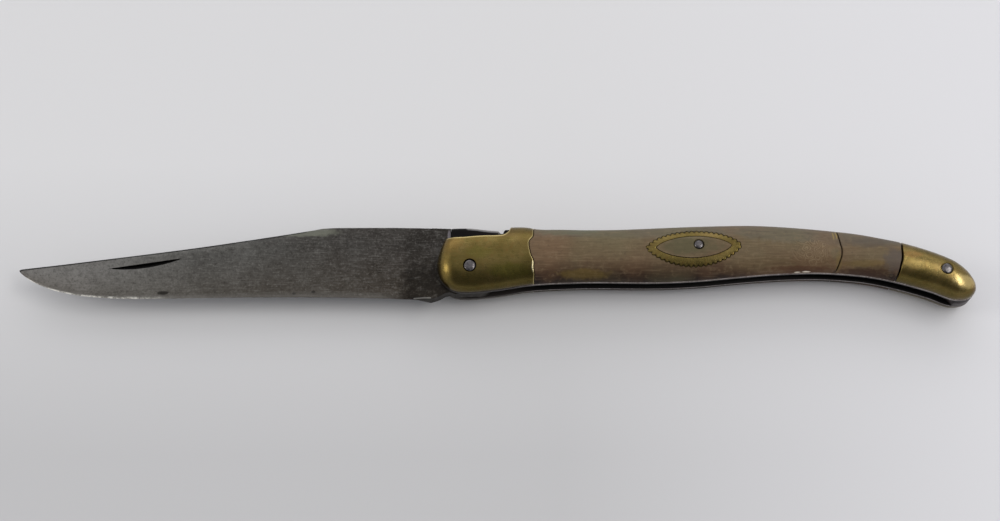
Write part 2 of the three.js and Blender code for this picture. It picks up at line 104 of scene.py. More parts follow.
# smooth curve through points, the same that drew the solid parts
def smoothLine(points, steps=40):
    p = [np.array(q, float) for q in points]
    p = [2 * p[0] - p[1], *p, 2 * p[-1] - p[-2]]
    out = []
    for a, b, c, d in zip(p, p[1:], p[2:], p[3:]):
        ab, bc, cd = (np.linalg.norm(v) ** 0.5 for v in (b - a, c - b, d - c))
        slopeB = ((b - a) / ab - (c - a) / (ab + bc) + (c - b) / bc) * bc
        slopeC = ((c - b) / bc - (d - b) / (bc + cd) + (d - c) / cd) * bc
        for t in np.linspace(0, 1, steps, endpoint=False):
            out.append(b * (2 * t**3 - 3 * t**2 + 1) + slopeB * (t**3 - 2 * t**2 + t)
                       + c * (3 * t**2 - 2 * t**3) + slopeC * (t**3 - t**2))
    return np.array([*out, p[-2]])


def fromPin(pin, points):
    return [(pin[0] + x, pin[1] + y) for x, y in points]


butt = fromPin(rearPin, [handle["butt"]])
buttX = butt[0][0]
belly, back = (smoothLine([handle["nose"], *handle[side + "Front"],
                           *fromPin(middlePin, handle[side + "Middle"]),
                           *fromPin(rearPin, handle[side + "Rear"]), *butt])
               for side in ("belly", "back"))
belly[:, 1] = np.maximum(belly[:, 1], linerLow[1] + 0.004)  # stays inside the solid part


def bellyAt(x):
    return float(np.interp(x, belly[:, 0], belly[:, 1]))


def backAt(x):
    return float(np.interp(x, back[:, 0], back[:, 1]))


# lower and upper line of the brass and horn, drawn in from the liner
def shellSpan(x):
    low, high = bellyAt(x), backAt(x)
    inset = min(handle["inset"], (high - low) / 4)
    return low + inset, high - inset


# the dome's share of its full height, down to 0 at the nose and the butt
def endRise(x):
    nose = min(1, max(0, (x - noseX) / handle["noseRound"]))
    tail = min(1, max(0, (buttX - x) / handle["buttRound"]))
    return math.sqrt(1 - (1 - nose) ** 2) * math.sqrt(1 - (1 - tail) ** 2)


# height of the domed outside over a place in plan
def domeAt(x, y):
    low, high = shellSpan(x)
    across = min(1, abs(2 * (y - low) / max(high - low, 1e-6) - 1))
    sine = math.sqrt(max(0, 1 - across ** (2 / handle["fullness"])))
    return linerTop + (crown - linerTop) * endRise(x) * sine ** handle["fullness"]


# how far a rounded edge falls away at a distance from it
def rounding(distance, radius):
    if distance >= radius:
        return 0
    return radius - math.sqrt(max(0, radius**2 - (radius - distance) ** 2))


# smooth unevenness with bumps of a size in mm
def waver(x, y, z, size, seed=0):
    return noise.noise(Vector((x / size + seed * 7.3, y / size, z / size)))


# object from points in mm, with its doubled points merged
def makePiece(name, points, faces):
    mesh = bpy.data.meshes.new(name)
    mesh.from_pydata([tuple(c * mm for c in p) for p in points], [], faces)
    bm = bmesh.new()
    bm.from_mesh(mesh)
    bmesh.ops.remove_doubles(bm, verts=bm.verts, dist=0.001 * mm)
    bmesh.ops.dissolve_degenerate(bm, edges=bm.edges, dist=0.0005 * mm)
    bmesh.ops.recalc_face_normals(bm, faces=bm.faces)
    bm.to_mesh(mesh)
    bm.free()
    piece = bpy.data.objects.new(name, mesh)
    scene.collection.objects.link(piece)
    return piece


# skin over rings of equal length
def loftFaces(ringCount, ringLength, closedLoop=False, capped=False):
    faces = []
    for i in range(ringCount if closedLoop else ringCount - 1):
        here, there = i * ringLength, (i + 1) % ringCount * ringLength
        for j in range(ringLength):
            k = (j + 1) % ringLength
            faces.append((here + j, here + k, there + k, there + j))
    if capped:
        last = (ringCount - 1) * ringLength
        faces += [tuple(range(ringLength)), tuple(range(last, last + ringLength))]
    return faces


# cuts the tools out of a piece, or joins them to it, and uses them up
def combine(piece, tools, operation="DIFFERENCE"):
    for tool in tools:
        step = piece.modifiers.new("cut", "BOOLEAN")
        step.operation, step.solver, step.object = operation, "EXACT", tool
    view = bpy.context.evaluated_depsgraph_get()
    mesh = bpy.data.meshes.new_from_object(piece.evaluated_get(view))
    piece.modifiers.clear()
    piece.data = mesh
    for tool in tools:
        bpy.data.objects.remove(tool)


# copy on the other side of the knife's middle plane
def mirrorPiece(piece, name):
    mesh = piece.data.copy()
    copy = bpy.data.objects.new(name, mesh)
    scene.collection.objects.link(copy)
    for v in mesh.vertices:
        v.co.z = 2 * midPlane * mm - v.co.z
    mesh.flip_normals()
    return copy


# "across" runs from 0 at the lower line to 1 at the upper one, "rim" from 1 on the given
# lines to 0 at a distance from them, and the third mask is 1 at the given spots: grime and
# painted shade in the ring's notches, a painted highlight along the blade's heel, the rub along
# the spring's back
def markPiece(piece, spanAt, lines=(), reach=0.6, markSpots=(), markReach=0.3, dirtBase=0.0):
    mesh = piece.data
    spots = np.array([v.co for v in mesh.vertices]) / mm
    span = np.array([spanAt(x) for x in spots[:, 0]])
    across = (spots[:, 1] - span[:, 0]) / np.maximum(span[:, 1] - span[:, 0], 0.3)
    rim = 1 - awayFrom(spots, [p for line in lines for p in line]) / reach
    nearSpots = 1 - awayFrom(spots, markSpots) / markReach
    for name, values in (("across", across), ("rim", np.clip(rim, 0, 1)),
                         ("nearSpots", np.clip(nearSpots, dirtBase, 1))):
        mesh.attributes.new(name, "FLOAT", "POINT").data.foreach_set("value", values)


# distance in plan of each spot from the nearest point
def awayFrom(spots, points):
    gaps = np.full(len(spots), far, float)
    for x, y in points:
        gaps = np.minimum(gaps, np.hypot(spots[:, 0] - x, spots[:, 1] - y))
    return gaps


# finish of a piece, the body it rides on and the solid parts it stands for
def dress(piece, body, material, nodes, crease=35):
    piece.data.materials.clear()
    piece.data.materials.append(material)
    piece.data.shade_smooth()
    piece.data.set_sharp_from_angle(angle=math.radians(crease))
    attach(piece, body)
    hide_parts(*nodes)


# hex sRGB colour turned to linear
def tint(code):
    parts = [int(code[i:i + 2], 16) / 255 for i in (1, 3, 5)]
    return (*[c / 12.92 if c <= 0.04045 else ((c + 0.055) / 1.055) ** 2.4 for c in parts], 1)


# pattern scale that gives spots of a size in mm
def grain(size):
    return 1 / (size * mm)


def newMaterial(name):
    material = bpy.data.materials.new(name)
    material.use_nodes = True
    material.node_tree.nodes.clear()
    return material


# Adds one node. An input that is a socket gets linked, one that is text is a hex colour. A
# colour mix has its share in 0, its colours in 6 and 7, and gives the result at 2.
def addNode(material, kind, inputs=None, stops=(), out=0, **settings):
    tree = material.node_tree
    node = tree.nodes.new("ShaderNode" + kind)
    for key, value in settings.items():
        setattr(node, key, value)
    for key, value in (inputs or {}).items():
        if isinstance(value, bpy.types.NodeSocket):
            tree.links.new(value, node.inputs[key])
        else:
            node.inputs[key].default_value = tint(value) if isinstance(value, str) else value
    for i, (place, colour) in enumerate(stops):
        marks = node.color_ramp.elements
        mark = marks[i] if i < len(marks) else marks.new(place)
        mark.position, mark.color = place, tint(colour)
    return node.outputs[out] if node.outputs else None


rgba = {"data_type": "RGBA", "out": 2}


# one more layer of colour, none where the pattern is at start and most of it at full
def paint(material, under, hue, pattern, start, full, most=1.0):
    share = addNode(material, "MapRange", {"Value": pattern, "From Min": start,
                                           "From Max": full, "To Max": most})
    return addNode(material, "Mix", {0: share, 6: under, 7: hue}, **rgba)


# several layers, each with its hue, pattern, start, full and most
def paintAll(material, colour, layers):
    for hue, pattern, start, full, most in layers:
        colour = paint(material, colour, hue, pattern, start, full, most)
    return colour


# ragged patch round a place in mm, 1 in its middle
def patch(material, place, centre, reach, ragged=0.5, size=1.5):
    warp = addNode(material, "TexNoise", {"Vector": place, "Scale": grain(size), "Detail": 4},
                   out=1)
    local = addNode(material, "Mapping", {"Vector": place, "Location": [c * mm for c in centre],
                                          "Scale": [r * mm for r in reach]},
                    vector_type="TEXTURE")
    bent = addNode(material, "VectorMath", {0: warp, 1: (-0.5, -0.5, -0.5)}, operation="ADD")
    bent = addNode(material, "VectorMath", {0: bent, "Scale": 2 * ragged}, operation="SCALE")
    bent = addNode(material, "VectorMath", {0: local, 1: bent}, operation="ADD")
    ball = addNode(material, "TexGradient", {"Vector": bent}, gradient_type="SPHERICAL", out=1)
    return addNode(material, "MapRange", {"Value": ball, "From Max": 0.45})


# the last steps that every finish shares: small relief, then the surface
def finishSurface(material, reliefs, **inputs):
    normal = None
    for height, depth in reliefs:
        bump = {"Height": height, "Distance": depth * mm, "Strength": 1}
        if normal:
            bump["Normal"] = normal
        normal = addNode(material, "Bump", bump)
    inputs = {key.replace("_", " "): value for key, value in inputs.items()}
    if normal:
        inputs["Normal"] = normal
    surface = addNode(material, "BsdfPrincipled", inputs)
    addNode(material, "OutputMaterial", {"Surface": surface})
    return material


# Forged carbon steel, never plated: handling has turned it grey and spotted. It is lighter
# towards the point and darker near the handle, partly its own tone and partly painted
# reflection.
# The edge is rubbed bright towards the point, under a painted highlight.
def greyedCarbonSteel():
    steel = newMaterial("greyed_carbon_steel")
    place = addNode(steel, "TexCoord", out="Object")
    along = addNode(steel, "SeparateXYZ", {0: place})
    across, rim, paintedHighlight, nickShadeAndDirt = (addNode(steel, "Attribute", attribute_name=name, out="Fac")
                               for name in ("across", "rim", "nearSpots", "nickShadeAndDirt"))
    # clouds of 8 mm, mottling of 1.4 mm and specks of 0.5 mm
    cloud, mottle, specks = (
        addNode(steel, "TexNoise", {"Vector": place, "Scale": grain(size), "Detail": detail,
                                    "Roughness": roughness})
        for size, detail, roughness in ((8, 6, 0.5), (1.4, 5, 0.7), (0.5, 4, 0.75)))
    # grit lines 0.3 mm apart, drawn coarser than the real ones so that they show
    lines = addNode(steel, "Mapping", {"Vector": place, "Scale": (0.1, 1, 0.4)})
    scratches = addNode(steel, "TexNoise", {"Vector": lines, "Scale": grain(0.3), "Detail": 3})
    # where each kind of wear and painted highlight begins and where it is full, along the blade
    # or across it
    toTang, byTang, offTang, byPoint, low, byEdge, onEdge, flecks = (
        addNode(steel, "MapRange", {"Value": value, "From Min": start, "From Max": full})
        for value, start, full in (
            (along, -100 * mm, -10 * mm), (along, -19 * mm, -13 * mm),
            (along, -14 * mm, -22 * mm), (along, -66 * mm, -76 * mm),
            (across, 0.85, 0.35), (across, 0.1, 0.02), (across, 0.06, 0.02),
            (mottle, 0.42, 0.58)))
    wearAndHighlight = []
    for share, *others in ((low, byTang, mottle), (byEdge, offTang), (onEdge, byPoint, flecks)):
        for other in others:
            share = addNode(steel, "Math", {0: share, 1: other}, operation="MULTIPLY")
        wearAndHighlight.append(share)
    rust, rubbedAndLit, bright = wearAndHighlight
    # painted reflection over the steel's own tone: lighter towards the point, darker towards
    # the tang
    clouded = addNode(steel, "Math", {0: cloud, 1: 0.5, 2: -0.25}, operation="MULTIPLY_ADD")
    shade = addNode(steel, "Math", {0: toTang, 1: clouded}, operation="ADD")
    colour = addNode(steel, "ValToRGB", {"Fac": shade}, stops=[
        (0.08, "#7c7a77"), (0.3, "#6b6a67"), (0.51, "#53524f"), (0.75, "#454340"),
        (0.9, "#403d3a"), (1, "#2e2b28")])
    colour = paintAll(steel, colour, [
        ("#4d4336", across, 0.75, 0.1, 0.35), ("#2a2623", mottle, 0.5, 0.72, 0.4),
        ("#85837f", mottle, 0.46, 0.3, 0.2), ("#8a8884", scratches, 0.52, 0.8, 0.3),
        ("#1b1816", specks, 0.52, 0.68, 0.45), ("#96948f", specks, 0.44, 0.32, 0.27),
        ("#191613", rust, 0.2, 0.5, 0.75)])  # black rust low down by the handle
    for hue, x, y, wide, high, share in blade["marks"]:
        mark = patch(steel, place, (x, y, midPlane), (wide, high, 4), 0.35)
        colour = paint(steel, colour, hue, mark, 0, 0.8, share)
    colour = paintAll(steel, colour, [
        ("#0f0e0d", rim, 0.3, 0.7, 0.95),  # the back's corner is dull along the clip
        # lighter near the edge: rubbed, with a painted highlight
        ("#a3a19c", rubbedAndLit, 0, 1, 0.2),
        # bright flecks on the edge towards the point: rubbed bare, under a painted highlight
        ("#eae8e0", bright, 0, 1, 0.9),
        # painted highlight along the heel's bevel
        ("#bab8b2", paintedHighlight, 0.5, 0.9, 0.6),
        # painted shade and old dirt, nearly black in the nick
        ("#0b0a09", nickShadeAndDirt, 0, 1, 1)])
    rough = addNode(steel, "MapRange", {"Value": cloud, "To Min": 0.42, "To Max": 0.6})
    return finishSurface(steel, [(mottle, 0.03), (scratches, 0.01), (specks, 0.015)],
                         Base_Color=colour, Metallic=0.9, Roughness=rough)


# colour, place in mm, reach, and how much of it shows, of patina spots and painted highlights
patinaAndHighlights = [
    ("#80602f", (-4, 5.6, 11.5), (3, 3, 6), 0.3),
    ("#66602c", (2, 3, 12), (3.5, 1.8, 5), 0.4),
    ("#6c5936", (8, 8, 11), (5, 1.6, 5), 0.7),
    ("#66562f", (12, 6, 11.5), (3, 3.5, 5), 0.5),
    # painted highlight on the nose's left round
    ("#86703c", (-5.4, -0.3, 11), (1.8, 3.6, 6), 0.45),
    # painted highlight along the bolster's rear edge
    ("#f3e6bb", (14, -0.2, 12), (0.35, 1.6, 3), 0.9),
    ("#57551f", (9, -1, 11), (6, 2, 6), 0.45),
    ("#7d5230", (111.5, -3.6, 9.5), (1.5, 2.5, 5), 0.3),
    # painted highlight at the end of the cap
    ("#c4ae76", (109.1, -3.6, 11.2), (3.4, 2, 6), 0.75),
    # painted highlight in a streak along the cap
    ("#a38c56", (99.5, 0, 12.3), (5.5, 1.4, 5), 0.3),
    ("#8f6a40", (98, 2.5, 11.5), (3, 1, 5), 0.35),
]


# Cast and filed brass, handled for years: an olive patina with brown and reddish spots, rubbed
# yellow along the rims under a painted highlight, with painted highlights on the rounds and
# painted shade below.
def patinatedBrass():
    brass = newMaterial("patinated_brass")
    place = addNode(brass, "TexCoord", out="Object")
    along = addNode(brass, "SeparateXYZ", {0: place})
    across, rim, nearSpots = (addNode(brass, "Attribute", attribute_name=name, out="Fac")
                         for name in ("across", "rim", "nearSpots"))
    # clouds of 5 mm and mottling of 1.1 mm
    cloud, mottle = (addNode(brass, "TexNoise", {"Vector": place, "Scale": grain(size),
                                                 "Detail": 5, "Roughness": roughness})
                     for size, roughness in ((5, 0.5), (1.1, 0.65)))
    # file and polishing marks 0.25 mm apart
    lines = addNode(brass, "Mapping", {"Vector": place, "Scale": (0.12, 1, 1),
                                       "Rotation": (0, 0, 0.06)})
    scratches = addNode(brass, "TexNoise", {"Vector": lines, "Scale": grain(0.25), "Detail": 3})
    # painted shade: the lower half is darker, most of all on the bolster
    shadeLevel = addNode(brass, "MapRange", {"Value": along, "From Min": 20 * mm,
                                         "From Max": 90 * mm, "To Max": 0.33})
    shadeLevel = addNode(brass, "Math", {0: across, 1: shadeLevel}, operation="ADD")
    colour = addNode(brass, "ValToRGB", {"Fac": cloud}, stops=[
        (0.3, "#5f522a"), (0.5, "#6f6036"), (0.7, "#7d6b42")])
    colour = paintAll(brass, colour, [
        ("#75522a", mottle, 0.52, 0.75, 0.5), ("#484018", mottle, 0.46, 0.26, 0.5),
        ("#9a8956", scratches, 0.5, 0.8, 0.3), ("#3d3718", shadeLevel, 0.65, 0.25, 0.57)])
    for hue, centre, reach, most in patinaAndHighlights:
        colour = paint(brass, colour, hue, patch(brass, place, centre, reach), 0, 1, most)
    # grime in the mottling, and in the ring's notches grime with painted shade between the
    # beads
    grimeAndNotchShade = addNode(brass, "Math", {0: mottle, 1: 0.5, 2: nearSpots}, operation="MULTIPLY_ADD")
    # rims rubbed yellow under a painted highlight
    colour = paintAll(brass, colour, [
        ("#d6c48c", rim, 0.5, 0.95, 0.7), ("#251f0d", grimeAndNotchShade, 0.3, 0.95, 0.9)])
    rough = addNode(brass, "MapRange", {"Value": mottle, "To Min": 0.2, "To Max": 0.36})
    return finishSurface(brass, [(mottle, 0.035), (scratches, 0.012)],
                         Base_Color=colour, Metallic=0.95, Roughness=rough)


# colour, place in mm, reach, and how much of it shows
stains = [
    ("#3d2c1a", (34, -1, 10.8), (26, 3, 5), 0.3),  # darker under the ring
    ("#6a5722", (25, -1.6, 10.5), (7, 1.2, 4), 0.4),  # yellowish, low near the bolster
    ("#5a5e4c", (21, 8.6, 10.5), (9, 1.6, 6), 0.5),  # greenish, under the back
    ("#454229", (49, 4.5, 12), (8, 2.4, 6), 0.6),  # inside the ring
    ("#5f5f46", (80.9, 2.9, 12), (1.2, 1.6, 6), 0.25),
    ("#8d7a42", (80.9, 7, 11), (0.22, 1.5, 4), 0.6),  # two splits by the seam
    ("#8d7a42", (81.6, 7.2, 11), (0.25, 1.4, 4), 0.7),
    ("#42200f", (74, -0.2, 10), (9, 0.6, 5), 0.5),
    ("#2c1209", (87, -1.1, 10), (7, 1.1, 5), 0.65),
    ("#77622f", (87.5, 0.6, 10.6), (6.5, 0.8, 5), 0.25),
    ("#6b5a30", (81.8, 1.2, 10.6), (0.9, 2.2, 5), 0.5),
    ("#4b4440", (94, 1.5, 11), (2.8, 3.5, 6), 0.65),
    ("#4d453d", (89, 5.5, 10), (9, 1.9, 5), 0.55),
    ("#e3d9c6", (72.9, -0.5, 9), (0.9, 0.5, 0.35), 0.95),  # chips at the belly
    ("#e3d9c6", (74.8, -0.45, 9.1), (1.1, 0.5, 0.4), 0.95),
]


# Cow horn, sawn and filed: fibres along the handle, greenish grey near the back, brown and then
# almost black towards the belly, partly its own colour and partly painted shade, dull from
# wear.
def rubbedHorn():
    horn = newMaterial("rubbed_horn")
    place = addNode(horn, "TexCoord", out="Object")
    across, rim = (addNode(horn, "Attribute", attribute_name=name, out="Fac")
                   for name in ("across", "rim"))
    # the fibres turn round a knot near the rear of the long scale
    knotPlace = (76.3, 3.4, 12)
    knot = patch(horn, place, knotPlace, (5.5, 4, 6), 0.3, 3)
    swirl = addNode(horn, "TexNoise", {"Vector": place, "Scale": grain(3.5), "Detail": 1},
                    out=1)
    swirl = addNode(horn, "VectorMath", {0: swirl, 1: (-0.5, -0.5, -0.5)}, operation="ADD")
    for share in (knot, 14 * mm):
        swirl = addNode(horn, "VectorMath", {0: swirl, "Scale": share}, operation="SCALE")
    bent = addNode(horn, "VectorMath", {0: place, 1: swirl}, operation="ADD")
    lines = addNode(horn, "Mapping", {"Vector": bent, "Scale": (0.1, 1, 1)})
    # fibres of 0.4 mm in bands of 2.5 mm, clouds of 14 mm and mottling of 1.2 mm
    fibres, bands, cloud, mottle = (
        addNode(horn, "TexNoise", {"Vector": at, "Scale": grain(size), "Detail": detail,
                                   "Roughness": roughness})
        for at, size, detail, roughness in (
            (lines, 0.4, 4, 0.5), (lines, 2.5, 4, 0.5), (place, 14, 4, 0.5),
            (place, 1.2, 5, 0.65)))
    # rings of 0.8 mm in the knot
    fromKnot = addNode(horn, "VectorMath", {0: bent, 1: [-c * mm for c in knotPlace]},
                       operation="ADD")
    rings = addNode(horn, "TexWave", {"Vector": fromKnot, "Scale": 0.314 / (0.8 * mm),
                                      "Distortion": 5, "Detail": 1, "Detail Scale": 1},
                    wave_type="RINGS", rings_direction="Z", out="Fac")
    rings = addNode(horn, "Math", {0: rings, 1: knot}, operation="MULTIPLY")
    # the dark band at the belly is ragged, and narrow behind the ring
    height = across
    for pattern, share in ((bands, 0.24), (mottle, 0.14),
                           (patch(horn, place, (75, 1, 11), (20, 12, 8), 0.2, 4), 0.21)):
        height = addNode(horn, "Math", {0: pattern, 1: share, 2: height},
                         operation="MULTIPLY_ADD")
    # darker towards the belly: the horn's own colour, deepened by painted shade
    colour = addNode(horn, "ValToRGB", {"Fac": height}, stops=[
        (0.2, "#140703"), (0.26, "#26150b"), (0.33, "#463322"), (0.46, "#5b4832"),
        (0.9, "#62523a"), (1.12, "#5d5444")])
    colour = paintAll(horn, colour, [
        ("#605c42", cloud, 0.5, 0.68, 0.4), ("#6b503a", cloud, 0.5, 0.34, 0.45),
        ("#86735a", fibres, 0.52, 0.78, 0.3), ("#3f3122", fibres, 0.48, 0.28, 0.3),
        ("#7f6e55", mottle, 0.54, 0.72, 0.35), ("#3c2e21", mottle, 0.44, 0.28, 0.35),
        ("#8f7c60", rings, 0.4, 0.9, 0.35)])
    for hue, centre, reach, most in stains:
        colour = paint(horn, colour, hue, patch(horn, place, centre, reach), 0, 1, most)
    # darker by the seams, with dirt in the joints, and round the ring's notches, with painted
    # shade between the beads
    colour = paint(horn, colour, "#1a0f09", rim, 0.35, 0.95, 0.6)
    # dull where dirt has gathered along the belly
    rough = addNode(horn, "MapRange", {"Value": mottle, "To Min": 0.38, "To Max": 0.58})
    dull = addNode(horn, "MapRange", {"Value": across, "From Min": 0.4, "From Max": 0.05,
                                      "To Max": 0.2})
    rough = addNode(horn, "Math", {0: rough, 1: dull}, operation="ADD")
    return finishSurface(horn, [(fibres, 0.015), (mottle, 0.03), (bands, 0.04), (rings, 0.03)],
                         Base_Color=colour, Roughness=rough, IOR=1.54, Specular_IOR_Level=0.2)


# Rolled steel plate seen on its filed edges: grey with rust in the grain where the upper corner
# is rubbed, black below it and in the slot with old dirt and painted shade.
def filedPlate():
    steel = newMaterial("filed_liner_steel")
    place = addNode(steel, "TexCoord", out="Object")
    along = addNode(steel, "SeparateXYZ", {0: place})
    height = addNode(steel, "SeparateXYZ", {0: place}, out=2)
    inner, outer = (slotTop - midPlane) * mm, (linerTop - midPlane) * mm
    aboveMiddle = addNode(steel, "Math", {0: height, 1: -midPlane * mm}, operation="ADD")
    fromMiddle = addNode(steel, "Math", {0: aboveMiddle}, operation="ABSOLUTE")
    # runs from inner at the lower face of either plate to outer at its upper face
    level = addNode(steel, "Math", {0: aboveMiddle, 1: inner + outer, 2: 0}, operation="WRAP")
    # file marks 0.4 mm apart, across the edge, clouds of 3 mm and spots of 0.8 mm
    lines = addNode(steel, "Mapping", {"Vector": place, "Scale": (1, 0.2, 0.2)})
    marks, cloud, spots = (
        addNode(steel, "TexNoise", {"Vector": at, "Scale": grain(size), "Detail": detail})
        for at, size, detail in ((lines, 0.4, 3), (place, 3, 6), (place, 0.8, 4)))
    colour = addNode(steel, "ValToRGB", {"Fac": cloud}, stops=[
        (0.35, "#6d6561"), (0.65, "#948d8a")])
    colour = paintAll(steel, colour, [
        ("#4f3428", spots, 0.55, 0.7, 0.6), ("#dad5d1", marks, 0.5, 0.8, 0.4),
        # painted shade on the lower part of each plate's edge, with old dirt on the slot side
        ("#0f0b0a", level, inner + 0.5 * mm, inner + 0.38 * mm, 1),
        # the slot faces nearly black: old dirt and painted shade
        ("#0a0807", fromMiddle, inner + 0.12 * mm, inner + 0.05 * mm, 1),
        ("#2b2624", along, 15 * mm, 10 * mm, 0.9)])  # darker round the bolster
    rough = addNode(steel, "MapRange", {"Value": cloud, "To Min": 0.35, "To Max": 0.55})
    return finishSurface(steel, [(marks, 0.02), (spots, 0.02)],
                         Base_Color=colour, Metallic=0.7, Roughness=rough)


# Steel wire peened over by hammer: small flats, darker than the rim round them.
def peenedWire():
    steel = newMaterial("peened_pin_steel")
    place = addNode(steel, "TexCoord", out="Object")
    # hammer flats of 0.8 mm
    flats = addNode(steel, "TexVoronoi", {"Vector": place, "Scale": grain(0.8)}, out="Distance")
    spots = addNode(steel, "TexNoise", {"Vector": place, "Scale": grain(0.6), "Detail": 4})
    colour = addNode(steel, "ValToRGB", {"Fac": spots}, stops=[
        (0.35, "#474445"), (0.65, "#6a6768")])
    colour = paint(steel, colour, "#3b3634", spots, 0.55, 0.7, 0.5)
    return finishSurface(steel, [(flats, 0.05), (spots, 0.02)],
                         Base_Color=colour, Metallic=0.95, Roughness=0.26)


# Hardened spring steel, black with old oil, dirt and painted shade, grey on the back that the
# hand rubs.
def blackenedSpringSteel():
    steel = newMaterial("blackened_spring_steel")
    place = addNode(steel, "TexCoord", out="Object")
    height = addNode(steel, "SeparateXYZ", {0: place}, out=2)
    fromMiddle = addNode(steel, "Math", {0: height, 1: -midPlane * mm}, operation="ADD")
    fromMiddle = addNode(steel, "Math", {0: fromMiddle}, operation="ABSOLUTE")
    rubbedAndLit, handled = (addNode(steel, "Attribute", attribute_name=name, out="Fac")
                       for name in ("rim", "nearSpots"))
    # clouds of 2.5 mm and spots of 0.6 mm
    cloud, spots = (
        addNode(steel, "TexNoise", {"Vector": place, "Scale": grain(size), "Detail": detail})
        for size, detail in ((2.5, 6), (0.6, 4)))
    # painted highlight: the fly is brightest along its two rounded edges, where it is rubbed
    # too
    edges = addNode(steel, "MapRange", {"Value": fromMiddle, "From Min": 0.9 * mm,
                                        "From Max": 1.9 * mm, "To Min": 0.45})
    rubbedAndLit = addNode(steel, "Math", {0: rubbedAndLit, 1: edges}, operation="MULTIPLY")
    paintedHighlight = addNode(steel, "Math", {0: cloud, 1: 0.4, 2: rubbedAndLit}, operation="MULTIPLY_ADD")
    colour = addNode(steel, "ValToRGB", {"Fac": cloud}, stops=[
        (0.35, "#181212"), (0.65, "#2a2121")])
    colour = paintAll(steel, colour, [
        # painted shade with old oil and dirt: the flat sides nearly black
        ("#3b1f18", spots, 0.5, 0.7, 0.5), ("#0d0a0a", fromMiddle, 1.15 * mm, 1.3 * mm, 1),
        # painted highlight on the fly's rounded top, rubbed there too
        ("#8f8d8c", paintedHighlight, 0.4, 0.8, 1), ("#6a676a", handled, 0.3, 0.9, 0.85)])
    rough = addNode(steel, "MapRange", {"Value": spots, "To Min": 0.32, "To Max": 0.5})
    return finishSurface(steel, [(spots, 0.03)],
                         Base_Color=colour, Metallic=0.85, Roughness=rough)


brass = patinatedBrass()
horn = rubbedHorn()
linerSteel = filedPlate()
pinSteel = peenedWire()
springSteel = blackenedSpringSteel()
print("materials made")


# seams across the handle, as lines from belly to back
seams = {
    "bolsterGap": 0.07,
    "gap": 0.19,
    "capGap": 0.37,
    "edgeRound": 0.22,
    "unevenness": 0.05,  # of sawing and filing by hand
    "reach": 5,  # how far into a piece the bends of its seam are carried
    "bolster": [(14.3, -3), (14.3, -1.5), (14.17, -0.3), (14.15, 1.1), (13.88, 1.86),
                (13.53, 2.6), (13.3, 3.7), (13.13, 5.1), (13.27, 5.9), (13.85, 6.6),
                (14.13, 7.1), (14.2, 8.7)],
    # these two from the rear pin
    "horn": [(-24.75, -0.2), (-24, 0.4), (-23.69, 1.07), (-23.41, 1.83), (-23.02, 3),
             (-22.88, 4.4), (-23.13, 5.6), (-23.34, 7.3), (-23.45, 8.5)],
    "cap": [(-10.96, -2.05), (-10.66, -1.07), (-10.27, 0), (-10.02, 1.04), (-9.64, 2.55),
            (-9.52, 3.5), (-9.45, 4.9), (-9.22, 6.6)],
}


def seamLine(points):
    line = smoothLine([(points[0][0], -far), *points, (points[-1][0], far)])
    return line[np.argsort(line[:, 1])]


bolsterSeam = seamLine(seams["bolster"])
hornSeam = seamLine(fromPin(rearPin, seams["horn"]))
capSeam = seamLine(fromPin(rearPin, seams["cap"]))


def seamX(seam, y):
    place = float(np.interp(y, seam[:, 1], seam[:, 0]))
    return place + seams["unevenness"] * waver(seam[0][0], y, 0, 1.3)


def seamPoints(seam):
    return [(seamX(seam, y), y) for y in np.arange(-9, 12, 0.1)]


# cut-out over the tang, where the front end of the spring lies
cutOut = {
    "line": [(-1.3, 6.8), (0.8, 7.04), (2.9, 7.2), (6.4, 7.27), (7.6, 7.5), (8.35, 8.08),
             (8.82, 8.85), (9.12, 9.66)],
    "stepStart": 7,  # where the line turns up to the back
    "stepTop": 10.2,
    "end": 9.25,
}
cutLine = np.array([(noseX - 5, cutOut["line"][0][1]), *smoothLine(cutOut["line"]),
                    (cutOut["end"], far)])
rimStart = [(x, cutOut["line"][0][1]) for x in np.arange(noseX - 1, cutLine[1][0], 0.1)]
rimEnd = [(cutLine[-2][0] + 0.002 * i, cutLine[-2][1] + 0.04 * i) for i in range(30)]
cutRim = np.array(rimStart + [tuple(p) for p in cutLine[1:-1]] + rimEnd)


# distance in plan from a line
def distanceTo(line, x, y):
    start, along = line[:-1], np.diff(line, axis=0)
    share = ((np.array([x, y]) - start) * along).sum(axis=1) / (along**2).sum(axis=1)
    near = start + along * np.clip(share, 0, 1)[:, None]
    return float(np.hypot(near[:, 0] - x, near[:, 1] - y).min())


# height of the cut-out, and far off where there is none
def cutAt(x):
    return float(np.interp(x, cutLine[:, 0], cutLine[:, 1], right=far))


# places along x, closer together in the spans named finely
def stationsBetween(start, end, step, finely=()):
    places = list(np.arange(start, end, step)) + [end]
    for low, high, small in finely:
        places += list(np.arange(low, high, small))
    places = sorted(p for p in places if start <= p <= end)
    return [p for i, p in enumerate(places) if i == 0 or p - places[i - 1] > 0.015]


